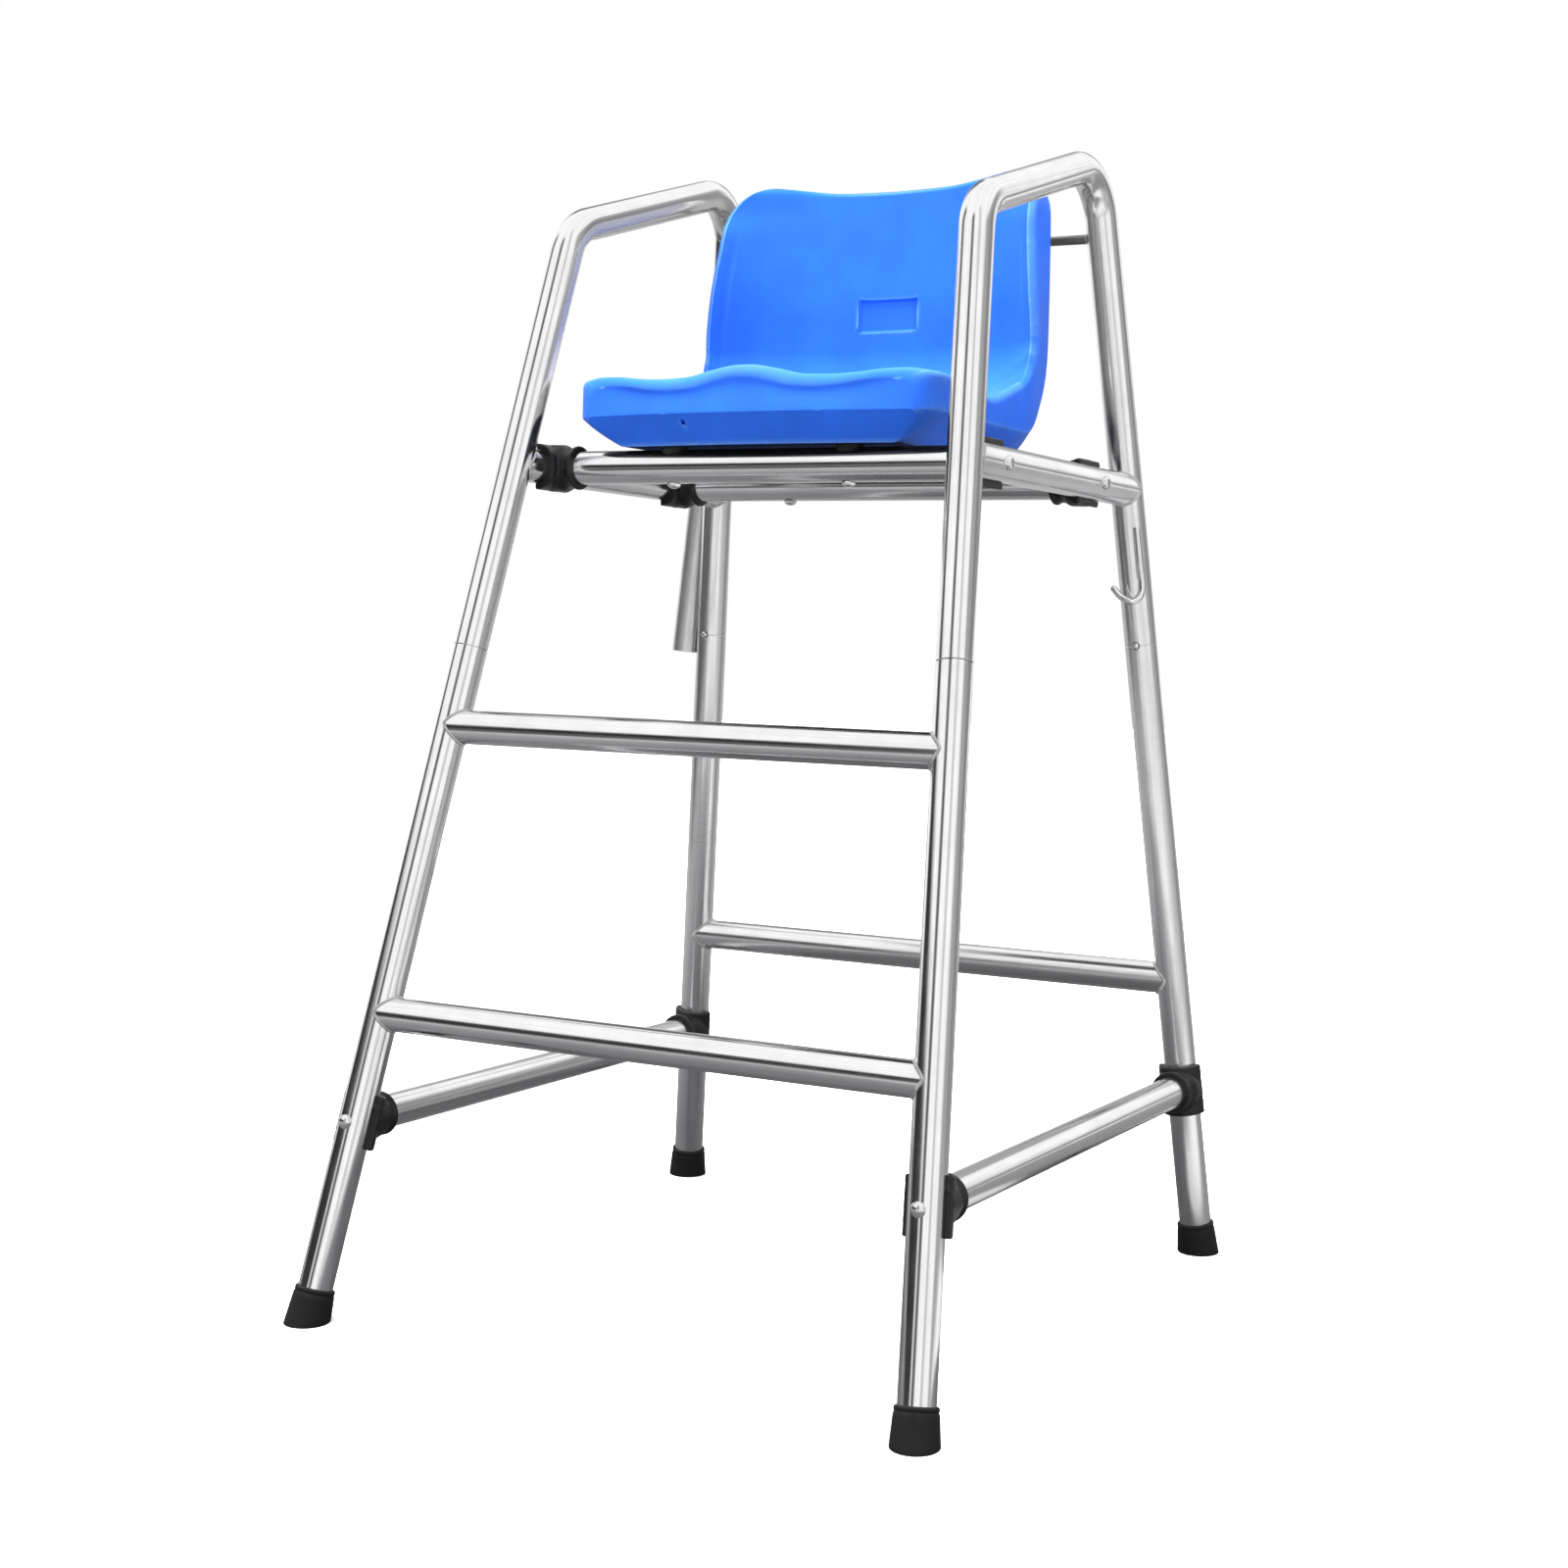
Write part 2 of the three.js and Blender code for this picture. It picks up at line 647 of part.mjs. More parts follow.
// Half of one station's outline from its middle to its rim, and from its rim to its base
function stationOutline(v) {
  const pan = Math.min(v, 1);
  const bend = Math.min(Math.max(v - 1, 0), 1) * Math.PI / 2;
  const fromFront = pan * (seatFrontReach + seatPivotBack);
  const backLength = seatBackTop - seatPivotRise;
  const fromTop = (3 - Math.max(v, 2)) * backLength;
  const frontIn = v < 1 ? roundIn(fromFront, frontCorner) : 0;
  const topIn = v > 2 ? roundIn(fromTop, topCorner) : 0;
  const edge = v < 1 ? roundIn(fromFront, rimRadius) : roundIn(v > 2 ? fromTop : rimRadius, rimRadius);
  const width = seatHalfWidth * eased(halfWidthShares, v) - frontIn - topIn;
  const lowWidth = seatHalfWidth * eased(rearWidthShares, v) - frontIn - topIn;
  const baseDepth = seatPivotRise - tubeRadius - spacerThickness - fitGap;
  const outer = (Math.abs(Math.cos(bend) / baseDepth) ** outerPower
    + Math.abs(Math.sin(bend) / seatRearReach) ** outerPower) ** (-1 / outerPower);
  const apron = Math.min(fromFront / apronRun, 1);
  const creaseDepth = THREE.MathUtils.lerp(seatPivotRise - creaseRise, seatRearReach * backCreaseShare,
    eased([[1, 0], [2, 1]], v));
  const outerDepth = v < 1 ? THREE.MathUtils.lerp(creaseDepth, outer, apron) : outer - edge;
  const chamfer = THREE.MathUtils.lerp(seatHalfWidth - baseHalfWidth, seatHalfWidth * backChamferShare,
    eased([[1, 0], [1.75, 1]], v));
  const lowCorner = lowWidth - chamfer * (v < 1 ? apron : 1);
  const rim = seatPivotRise * eased(rimDepthShares, v);
  const dish = seatPivotRise * eased(dishDepthShares, v);
  const waveBlend = 1 - eased(lipBlendShares, v);
  const lip = seatPivotRise - lipRise;
  const inner = acrossShares.map((share) => {
    const shell = dish - (dish - rim) * share ** wingPower;
    const wave = lip - pommelRise * eased(lipWaveShares, share);
    return [share * (width - rimRadius), THREE.MathUtils.lerp(shell, wave, waveBlend) + edge];
  });
  const rimDepth = inner[inner.length - 1][1];
  const slant = Math.SQRT1_2;
  inner.push([width - rimRadius * (1 - slant), rimDepth + rimRadius * (1 - slant)]);
  inner.push([width, rimDepth + rimRadius]);
  const crease = Math.min(creaseDepth, outerDepth - (v < 1 ? edge : 0));
  const low = [
    [THREE.MathUtils.lerp(width, lowWidth, 0.5), THREE.MathUtils.lerp(rimDepth + rimRadius, crease, 0.5)],
    [lowWidth, crease - rimRadius / 4],
    [lowWidth - rimRadius / 6, crease],
    ...flankShares.map(([across, down]) => [
      THREE.MathUtils.lerp(lowWidth, lowCorner, across),
      THREE.MathUtils.lerp(crease, outerDepth, down),
    ]),
    [lowCorner, outerDepth],
  ];
  const base = baseShares.map((share) => [share * lowCorner, outerDepth]).reverse();
  return { inner, outer: [...low, ...base] };
}

// Draws a closed outline in by one wall
function insetLoop(loop, distance) {
  return loop.map(([x, depth], i) => {
    const [beforeX, beforeDepth] = loop[(i + loop.length - 1) % loop.length];
    const [afterX, afterDepth] = loop[(i + 1) % loop.length];
    const normal = new THREE.Vector2(beforeDepth - afterDepth, afterX - beforeX).normalize();
    return [x + normal.x * distance, depth + normal.y * distance];
  });
}

function stationLoop(v, inset) {
  const { inner, outer } = stationOutline(v);
  const flip = ([x, depth]) => [-x, depth];
  const top = [...inner.slice(1).reverse().map(flip), ...inner];
  const bottom = [...outer, ...outer.slice(0, -1).reverse().map(flip)];
  const loop = [...top, ...bottom];
  return { loop: inset > 0 ? insetLoop(loop, inset) : loop, topCount: top.length };
}

// A point of the seat frame from its station, its offset across and its depth below the pivot line
function shellPoint(v, x, depth, inset) {
  const pan = Math.min(v, 1);
  const rise = Math.max(v - 2, 0);
  const bend = Math.min(Math.max(v - 1, 0), 1) * Math.PI / 2;
  const share = x / seatHalfWidth;
  const panLength = seatFrontReach + seatPivotBack;
  const bow = frontBow * share ** 2 * (1 - pan) ** 2;
  const corner = backCornerRise * eased(topWaveShares, Math.abs(share)) * rise ** 2;
  const y = seatPivotBack - (1 - pan) * (panLength - inset) + bow + depth * Math.sin(bend);
  const z = seatPivotRise + rise * (seatBackTop - seatPivotRise - inset) + corner - depth * Math.cos(bend);
  return new THREE.Vector3(x, y, z);
}

// Closed loft through the stations, with a strip over each end
function shellSolid(stations, inset) {
  const loops = stations.map((v) => {
    const { loop } = stationLoop(v, inset);
    return loop.map(([x, depth]) => shellPoint(v, x, depth, inset));
  });
  const { topCount } = stationLoop(stations[0], 0);
  const count = loops[0].length;
  const positions = loops.flat().flatMap((point) => point.toArray());
  const faces = [];
  const quad = (a, b, c, d) => faces.push(a, b, c, a, c, d);
  for (let row = 0; row < loops.length - 1; row += 1) {
    for (let i = 0; i < count; i += 1) {
      const next = (i + 1) % count;
      quad(row * count + i, row * count + next, (row + 1) * count + next, (row + 1) * count + i);
    }
  }
  const last = (loops.length - 1) * count;
  for (let i = 0; i < topCount - 1; i += 1) {
    const below = count - 1 - i;
    quad(i, below % count, below - 1, i + 1);
    quad(last + i + 1, last + below - 1, last + (below % count), last + i);
  }
  const geometry = new THREE.BufferGeometry();
  geometry.setAttribute('position', new THREE.Float32BufferAttribute(positions, 3));
  geometry.setIndex(faces);
  return geometry;
}

// Blow-moulded shell: hollow, with a vent in its front apron, a bare badge recess and four bolt bosses
// that stand down to the spacers as flat pads
function seatShell() {
  const outerStations = [0, 0.01, 0.03, 0.06, 0.1, 0.17, 0.3, 0.45, 0.62, 0.8, 0.95,
    1.12, 1.3, 1.48, 1.66, 1.85, 2.05, 2.35, 2.6, 2.78, 2.88, 2.94, 2.98, 3];
  const innerStations = [0.02, 0.07, 0.2, 0.5, 0.8, 1.1, 1.5, 1.9, 2.4, 2.8, 2.95];
  const baseRise = tubeRadius + spacerThickness + fitGap;
  const bosses = [-1, 1].flatMap((row) => Object.values(sides).map((side) => ({ row, side })));
  const bossAt = ({ row, side }, radius, low, high) => rod(radius, low, high, smallSides)
    .translate(side * seatBoltHalfPitch, row * seatTubeHalfPitch, 0);
  const hollow = bosses.reduce((body, boss) => body.subtract(toSolid(
    bossAt(boss, bossDiameter / 2, 0, baseRise + bossHeight))), toSolid(shellSolid(innerStations, seatWall)));
  const vent = moved(rod(ventDiameter / 2, -ventDepth, ventDepth, smallSides).rotateX(Math.PI / 2),
    new THREE.Matrix4().makeTranslation(-ventOffset, -seatFrontReach, ventRise));
  const badge = block(badgeWidth, 2 * seatRearReach, badgeHeight,
    0, badgeFace() + badgeDepth - seatRearReach, badgeRise);
  const drilled = bosses.map((boss) => bossAt(
    boss, outside(boltHoleRadius, smallSides), 0, baseRise + seatBoltBite + cutOverrun));
  const pads = bosses.map((boss) => bossAt(boss, bossDiameter / 2, baseRise, baseRise + bossHeight));
  const body = join(shellSolid(outerStations, 0), ...pads).subtract(hollow);
  return cut(body, vent, badge, ...drilled);
}

// How far back the shell's inner face lies at the badge
function badgeFace() {
  const v = 2 + (badgeRise - seatPivotRise) / (seatBackTop - seatPivotRise);
  return seatPivotBack + seatPivotRise * eased(dishDepthShares, v);
}

// Umbrella tube beside the right rear leg, crossing it in a plane parallel to the side frame
function addUmbrellaHolder() {
  const side = sides.right;
  const plane = sidePlane(side);
  const tilt = radians(holderTiltDegrees) - rakes.rear;
  const out = side * (tubeRadius + holderDiameter / 2 + fitGap);
  const crossing = legInPlane('rear', holderBottomRise + holderCrossing);
  const low = new THREE.Vector3(out, crossing.y - holderCrossing * Math.tan(tilt), holderBottomRise);
  const along = new THREE.Vector3(0, Math.sin(tilt), Math.cos(tilt));
  const high = low.clone().addScaledVector(along, holderLength);
  const place = aim(low.applyMatrix4(plane), high.applyMatrix4(plane));
  const radius = holderDiameter / 2;
  const tube = join(pipe(radius, radius - holderWall, 0, holderLength),
    moved(holderLug(plane, out, tilt, crossing), plane, place));
  const bore = hole(radius - holderWall, -cutOverrun, holderLength + cutOverrun);
  const leg = moved(legCutter(side, 'rear'), new THREE.Matrix4(), place);
  addPiece('umbrella_holder', cut(tube, bore, leg), 'steel', place);
}

// Flat lug that ties the holder's upper part to the leg
function holderLug(plane, out, tilt, crossing) {
  const leg = legInPlane('rear', lugRise);
  const holderBack = crossing.y + (lugRise - holderBottomRise - holderCrossing) * Math.tan(tilt);
  const from = new THREE.Vector3(0, leg.y, lugRise);
  const to = new THREE.Vector3(out, holderBack, lugRise);
  const length = from.distanceTo(to);
  const plate = block(lugThickness, lugHeight, length, 0, 0, length / 2);
  return plate.applyMatrix4(aim(from, to, new THREE.Vector3(0, 1, 0)));
}

// Bag hook: a straight shank down the left rear leg, then a curl round its front
function addHook() {
  const side = sides.left;
  const place = legPlace(side, 'rear', hookTopRise - hookShank);
  const away = seatRadius + hookDiameter / 2;
  const bearing = radians(hookBearingDegrees);
  const front = frontAxis(place);
  const spot = (out, ahead, height) => new THREE.Vector3(out, front * ahead, height);
  const shank = spot(away * Math.cos(bearing), away * Math.sin(bearing), 0);
  const points = [
    shank.clone().setZ(hookShank),
    shank.clone().setZ(hookShank / 2),
    shank.clone(),
    ...hookCurlShares.map(([across, ahead, drop]) => spot(
      hookSwing * across, hookSwing * ahead, -hookDrop * drop)),
    spot(-hookTipOffset, hookReturn, hookTipRise),
  ];
  const curve = new THREE.CatmullRomCurve3(points, false, 'centripetal');
  const section = new THREE.Shape(circle(hookDiameter / 2, smallSides));
  const wire = new THREE.ExtrudeGeometry(section, {
    steps: hookSteps,
    bevelEnabled: false,
    extrudePath: curve,
  });
  const leg = moved(legCutter(side, 'rear'), new THREE.Matrix4(), place);
  addPiece('bag_hook', cut(wire, leg), 'steel', place);
}

// Sign of a leg frame's own Y that points to the front of the chair
function frontAxis(place) {
  return new THREE.Vector3().setFromMatrixColumn(place, 1).y < 0 ? 1 : -1;
}

// Rungs, rear crossbar and tie rod, coped to the two legs of one end
function addCrossTube(name, end, rise) {
  const left = legPoint(sides.left, end, rise);
  const right = legPoint(sides.right, end, rise);
  const cutters = [legCutter(sides.left, end), legCutter(sides.right, end)];
  const tube = copedTube(right, left, cutters, up);
  addPiece(name, tube.geometry, 'steel', tube.place);
}

function addTieRod() {
  const left = legPoint(sides.left, 'rear', tieRodRise);
  const right = legPoint(sides.right, 'rear', tieRodRise);
  const place = aim(right, left, up);
  const cutters = Object.values(sides).map((side) => moved(
    legCutter(side, 'rear'), new THREE.Matrix4(), place));
  const bar = rod(tieRodDiameter / 2, 0, right.distanceTo(left), smallSides);
  addPiece('tie_rod', cut(bar, ...cutters), 'steel', place);
}

for (const [sideName, side] of Object.entries(sides)) {
  addPiece(`side_frame_${sideName}`, sideFrame(side), 'steel', sidePlane(side));
  addSeatRail(sideName, side);
  addLowerSide(sideName, side);
  addLegJoint(sideName, side, 'front');
  addLegJoint(sideName, side, 'rear');
}
addCrossTube('rung_lower', 'front', rungRises.lower);
addCrossTube('rung_upper', 'front', rungRises.upper);
addCrossTube('rear_crossbar', 'rear', crossbarRise);
addTieRod();
addSeatTube('front', -1);
addSeatTube('rear', 1);
addPiece('seat_shell', seatShell(), 'seat', seatPlace());
addUmbrellaHolder();
addHook();

export default chair;
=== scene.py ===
import math
import bmesh
import bpy
from mathutils import Matrix, Vector


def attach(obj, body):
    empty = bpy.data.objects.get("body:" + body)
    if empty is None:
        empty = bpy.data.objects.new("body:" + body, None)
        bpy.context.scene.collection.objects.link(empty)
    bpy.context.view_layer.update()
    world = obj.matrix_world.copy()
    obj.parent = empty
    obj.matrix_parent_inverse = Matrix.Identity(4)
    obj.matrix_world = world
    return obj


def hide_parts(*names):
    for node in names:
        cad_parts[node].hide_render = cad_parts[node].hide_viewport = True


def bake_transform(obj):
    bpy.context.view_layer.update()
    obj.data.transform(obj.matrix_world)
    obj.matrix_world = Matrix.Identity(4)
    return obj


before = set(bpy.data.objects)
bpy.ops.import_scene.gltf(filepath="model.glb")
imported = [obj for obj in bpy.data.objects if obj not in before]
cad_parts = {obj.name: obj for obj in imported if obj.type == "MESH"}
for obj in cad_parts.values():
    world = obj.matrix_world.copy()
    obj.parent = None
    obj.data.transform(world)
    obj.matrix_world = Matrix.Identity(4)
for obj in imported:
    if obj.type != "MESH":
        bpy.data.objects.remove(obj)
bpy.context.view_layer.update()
scene = bpy.context.scene

# Metres, floor at z 0, the chair faces -Y and the sitter's left is +X
sideSigns = {"left": 1, "right": -1}
legEnds = ("front", "rear")
upward = Vector((0, 0, 1))

stance = {
    "halfSpread": 0.3658,
    "frontDepth": 0.3959,
    "rearDepth": 0.397,
    "lean": math.radians(5.32),
    "frontRake": math.radians(15.06),
    "rearRake": math.radians(5.42),
}

frameTube = {
    "radius": 0.019,
    "wall": 0.0015,
    "columns": 72,
    "fitGap": 0.0003,
    "endRound": 0.0003,
    "bendStep": math.radians(3),
    "uvTile": 0.1,
    "plainRingGap": 0.002,
}


# Places on the frame

def sidePlane(side):
    lean = Matrix.Rotation(-side * stance["lean"], 4, "Y")
    return Matrix.Translation((side * stance["halfSpread"], 0, 0)) @ lean


def legInPlane(end, rise):
    if end == "front":
        return Vector((0, rise * math.tan(stance["frontRake"]) - stance["frontDepth"], rise))
    return Vector((0, stance["rearDepth"] - rise * math.tan(stance["rearRake"]), rise))


def legPoint(side, end, rise):
    return sidePlane(side) @ legInPlane(end, rise)


def legDirection(side, end):
    return (legPoint(side, end, 1) - legPoint(side, end, 0)).normalized()


def outOf(side):
    return (sidePlane(side).to_3x3() @ Vector((side, 0, 0))).normalized()


def aim(origin, target, near):
    z = (target - origin).normalized()
    y = z.cross(near).normalized()
    x = y.cross(z)
    place = Matrix((x, y, z)).transposed().to_4x4()
    place.translation = origin
    return place


# A front leg's button faces back, a rear leg's faces forward
def buttonFacing(side, end):
    facing = outOf(side).cross(legDirection(side, end)).normalized()
    wanted = 1 if end == "front" else -1
    return facing if facing.y * wanted > 0 else -facing


# Mesh helpers

def addObject(name, bm, materials, sharpAngle=35):
    bmesh.ops.recalc_face_normals(bm, faces=bm.faces)
    mesh = bpy.data.meshes.new(name)
    bm.to_mesh(mesh)
    bm.free()
    for material in materials:
        mesh.materials.append(material)
    mesh.shade_smooth()
    mesh.set_sharp_from_angle(angle=math.radians(sharpAngle))
    piece = bpy.data.objects.new(name, mesh)
    scene.collection.objects.link(piece)
    return piece


def dress(piece, body, slot, *nodes):
    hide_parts(*nodes)
    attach(piece, body)


# Object that stands for a CAD node and rides on its body
def addPiece(name, bm, keys, slot, cadNode, body="frame", sharpAngle=35):
    piece = addObject(name, bm, [finishes[key] for key in keys], sharpAngle)
    dress(piece, body, slot, cadNode)


# Faces between rings of points; runs is how far along the piece each ring lies
def skin(bm, rings, runs=None, girth=0.12, closed=False, material=0):
    layer = bm.loops.layers.uv.get("tubeRun") or bm.loops.layers.uv.new("tubeRun")
    tile = frameTube["uvTile"]
    rows = [[bm.verts.new(point) for point in ring] for ring in rings]
    runs = runs or [frameTube["plainRingGap"] * index for index in range(len(rings))]
    count = len(rings[0])
    spans = [(row, row + 1) for row in range(len(rows) - 1)]
    if closed:
        spans.append((len(rows) - 1, 0))
    for low, high in spans:
        for column in range(count):
            after = (column + 1) % count
            face = bm.faces.new((rows[low][column], rows[low][after], rows[high][after], rows[high][column]))
            face.material_index = material
            left = column / count * girth / tile
            right = (column + 1) / count * girth / tile
            corners = ((left, runs[low]), (right, runs[low]), (right, runs[high]), (left, runs[high]))
            for loop, (across, run) in zip(face.loops, corners):
                loop[layer].uv = (across, run / tile)
    return rows


def capRing(bm, row, material=0):
    bm.faces.new(row).material_index = material


def cappedSkin(bm, rings, runs=None, girth=0.12, material=0):
    rows = skin(bm, rings, runs, girth, material=material)
    capRing(bm, rows[0], material)
    capRing(bm, rows[-1], material)


def tangentAt(points, index):
    ahead = points[min(index + 1, len(points) - 1)] - points[index]
    behind = points[index] - points[max(index - 1, 0)]
    return (ahead.normalized() + behind.normalized()).normalized()


def ringsAlong(points, radii, near, angles):
    rings = []
    runs = []
    normal = near.copy()
    run = 0.0
    for index, point in enumerate(points):
        tangent = tangentAt(points, index)
        normal = (normal - normal.dot(tangent) * tangent).normalized()
        other = tangent.cross(normal)
        radius = radii[index] if isinstance(radii, (list, tuple)) else radii
        rings.append([point + radius * (math.cos(a) * normal + math.sin(a) * other) for a in angles])
        if index:
            run += (point - points[index - 1]).length
        runs.append(run)
    return rings, runs


def evenAngles(count):
    return [2 * math.pi * index / count for index in range(count)]


# Ring round the Z of a place
def turnedRing(place, radius, height, angles):
    return [place @ Vector((radius * math.cos(a), radius * math.sin(a), height)) for a in angles]


# Path through corners, with an arc of the radius at each inner one
def roundedPath(corners, radius, step):
    points = [corners[0].copy()]
    for before, corner, after in zip(corners, corners[1:], corners[2:]):
        back, ahead = (before - corner).normalized(), (after - corner).normalized()
        half = back.angle(ahead) / 2
        middle = (back + ahead).normalized()
        centre = corner + middle * (radius / math.sin(half))
        across = (ahead - ahead.dot(middle) * middle).normalized()
        turn = math.pi / 2 - half
        count = max(2, math.ceil(2 * turn / step))
        for spot in range(count + 1):
            angle = turn * (2 * spot / count - 1)
            points.append(centre - middle * radius * math.cos(angle) + across * radius * math.sin(angle))
    points.append(corners[-1].copy())
    return points


# Slides a ring's points along their tube until they lie on the round of the tube they meet
def copeRing(ring, along, origin, axis, radius, sign):
    flatAlong = along - along.dot(axis) * axis
    lead = flatAlong.length_squared
    coped = []
    for point in ring:
        reach = point - origin
        flat = reach - reach.dot(axis) * axis
        cross = flat.dot(flatAlong)
        root = math.sqrt(max(cross * cross - lead * (flat.length_squared - radius * radius), 0))
        coped.append(point + along * ((-cross + sign * root) / lead))
    return coped


weld = {"pitch": 0.0016, "fewestRipples": 8, "stepsEach": 4, "ripple": 0.12, "drift": 0.06, "driftPace": 0.37,
        "columns": 8}


# A rippled bead of weld metal round a closed curve on a tube
def weldBead(bm, curve, centre, axis, radius):
    lengths = [(curve[(i + 1) % len(curve)] - curve[i]).length for i in range(len(curve))]
    total = sum(lengths)
    steps = max(weld["fewestRipples"], round(total / weld["pitch"])) * weld["stepsEach"]
    points = []
    index, passed = 0, 0.0
    for step in range(steps):
        target = total * step / steps
        while passed + lengths[index] < target:
            passed += lengths[index]
            index += 1
        share = (target - passed) / lengths[index]
        points.append(curve[index].lerp(curve[(index + 1) % len(curve)], share))
    rings = []
    for step, point in enumerate(points):
        tangent = (points[(step + 1) % steps] - points[step - 1]).normalized()
        reach = point - centre
        out = reach - reach.dot(axis) * axis
        normal = (out - out.dot(tangent) * tangent).normalized()
        other = tangent.cross(normal)
        ripple = weld["ripple"] * math.cos(2 * math.pi * step / weld["stepsEach"])
        swell = radius * (1 + ripple + weld["drift"] * math.sin(step * weld["driftPace"]))
        rings.append([point + swell * (math.cos(a) * normal + math.sin(a) * other)
                      for a in evenAngles(weld["columns"])])
    skin(bm, rings, closed=True, material=1)


# Open tube with its wall, from an outer and an inner run of rings
def walledTube(bm, points, near, angles, radius, wall, shape):
    outer, runs = ringsAlong(points, radius, near, angles)
    inner, _ = ringsAlong(points, radius - wall, near, angles)
    shape(outer, inner)
    skin(bm, outer + inner[::-1], runs + runs[::-1], 2 * math.pi * radius, closed=True)


# Extra stations close to a free end, where its edge is eased
def withEndStations(points, lead=0.009):
    ease = frameTube["endRound"]
    first = (points[1] - points[0]).normalized()
    last = (points[-2] - points[-1]).normalized()
    return ([points[0], points[0] + first * ease, points[0] + first * lead] + points[1:-1]
            + [points[-1] + last * lead, points[-1] + last * ease, points[-1]])


# Solid turned from a profile of radius and height round the place's own Z
def revolve(bm, profile, place, count):
    rings = []
    runs = []
    run = 0.0
    angles = evenAngles(count)
    for index, (radius, height) in enumerate(profile):
        rings.append(turnedRing(place, radius, height, angles))
        if index:
            before = profile[index - 1]
            run += math.hypot(radius - before[0], height - before[1])
        runs.append(run)
    cappedSkin(bm, rings, runs, 2 * math.pi * max(radius for radius, _ in profile))


# Shader groups

def newGroup(name, inputs, outputs):
    group = bpy.data.node_groups.new(name, "ShaderNodeTree")
    for label, value in inputs.items():
        group.interface.new_socket(label, in_out="INPUT", socket_type="NodeSocketFloat").default_value = value
    for label in outputs:
        group.interface.new_socket(label, in_out="OUTPUT", socket_type="NodeSocketFloat")
    return group, group.nodes.new("NodeGroupInput"), group.nodes.new("NodeGroupOutput")


def setOutputs(group, end, **sockets):
    for label, socket in sockets.items():
        group.links.new(socket, end.inputs[label])
    return group


def node(tree, kind, links=None, **settings):
    made = tree.nodes.new(kind)
    for label, value in settings.items():
        setattr(made, label, value)
    for label, value in (links or {}).items():
        if isinstance(value, bpy.types.NodeSocket):
            tree.links.new(value, made.inputs[label])
        else:
            made.inputs[label].default_value = value
    return made


def mathNode(tree, operation, first, second=None, clamp=False):
    links = {0: first}
    if second is not None:
        links[1] = second
    return node(tree, "ShaderNodeMath", links, operation=operation, use_clamp=clamp).outputs[0]


def rangeNode(tree, value, fromLow=0.0, fromHigh=1.0, toLow=0.0, toHigh=1.0):
    links = {"Value": value, "From Min": fromLow, "From Max": fromHigh, "To Min": toLow, "To Max": toHigh}
    return node(tree, "ShaderNodeMapRange", links).outputs["Result"]


def noiseNode(tree, place, scale, detail):
    return node(tree, "ShaderNodeTexNoise", {"Vector": place, "Scale": scale, "Detail": detail}).outputs[0]


def objectPlace(tree):
    return node(tree, "ShaderNodeTexCoord").outputs["Object"]


def partsOf(tree, vector):
    return node(tree, "ShaderNodeSeparateXYZ", {0: vector}).outputs


def mixColours(tree, mask, first, second):
    return node(tree, "ShaderNodeMix", {0: mask, 6: first, 7: second}, data_type="RGBA").outputs[2]


# Polishing lines that run along a tube, read from the tube's own run
def makeRunStreaks():
    group, start, end = newGroup("runStreaks", {"Across": 60.0, "Along": 0.6}, ["Streak", "Cloud"])
    uv = node(group, "ShaderNodeUVMap", uv_map="tubeRun")
    parts = partsOf(group, uv.outputs[0])
    across = mathNode(group, "MULTIPLY", parts[0], start.outputs["Across"])
    along = mathNode(group, "MULTIPLY", parts[1], start.outputs["Along"])
    spot = node(group, "ShaderNodeCombineXYZ", {0: across, 1: along})
    streak = noiseNode(group, spot.outputs[0], scale=1.0, detail=4.0)
    cloud = noiseNode(group, objectPlace(group), scale=26.0, detail=5.0)
    return setOutputs(group, end, Streak=streak, Cloud=cloud)


# Spark-eroded mould texture with a slower unevenness under it
def makeMouldGrain():
    group, start, end = newGroup("mouldGrain", {"Grain Scale": 900.0, "Wave Scale": 18.0}, ["Grain", "Wave"])
    place = objectPlace(group)
    grain = noiseNode(group, place, start.outputs["Grain Scale"], detail=3.0)
    wave = noiseNode(group, place, start.outputs["Wave Scale"], detail=2.0)
    return setOutputs(group, end, Grain=grain, Wave=wave)


# Where an edge stands proud of its neighbours: a mask for wear on the black parts and for a painted highlight
# on the blue shell
def makeRubbedEdgesAndHighlight():
    group, start, end = newGroup("rubbedEdgesAndHighlight", {"Low": 0.52, "High": 0.62, "Patchiness": 1.0}, ["Edge"])
    geometry = node(group, "ShaderNodeNewGeometry")
    patch = noiseNode(group, objectPlace(group), scale=70.0, detail=3.0)
    edge = rangeNode(group, geometry.outputs["Pointiness"], start.outputs["Low"], start.outputs["High"])
    wearAndHighlight = rangeNode(group, patch, fromLow=0.35, fromHigh=0.6)
    whole = mathNode(group, "SUBTRACT", 1.0, start.outputs["Patchiness"])
    mask = mathNode(group, "MULTIPLY", edge, mathNode(group, "MAXIMUM", wearAndHighlight, whole), clamp=True)
    return setOutputs(group, end, Edge=mask)


# Thin dust on what faces up
def makeSettledDust():
    group, start, end = newGroup("settledDust", {"Amount": 0.3}, ["Dust"])
    geometry = node(group, "ShaderNodeNewGeometry")
    parts = partsOf(group, geometry.outputs["Normal"])
    patch = noiseNode(group, objectPlace(group), scale=45.0, detail=6.0)
    top = rangeNode(group, parts[2], fromLow=0.2, fromHigh=1.0)
    mask = mathNode(group, "MULTIPLY", top, rangeNode(group, patch, fromLow=0.4, fromHigh=0.75))
    mask = mathNode(group, "MULTIPLY", mask, start.outputs["Amount"], clamp=True)
    return setOutputs(group, end, Dust=mask)


shaderGroups = {
    "streaks": makeRunStreaks(),
    "grain": makeMouldGrain(),
    "edges": makeRubbedEdgesAndHighlight(),
    "dust": makeSettledDust(),
}
print("shader groups made")


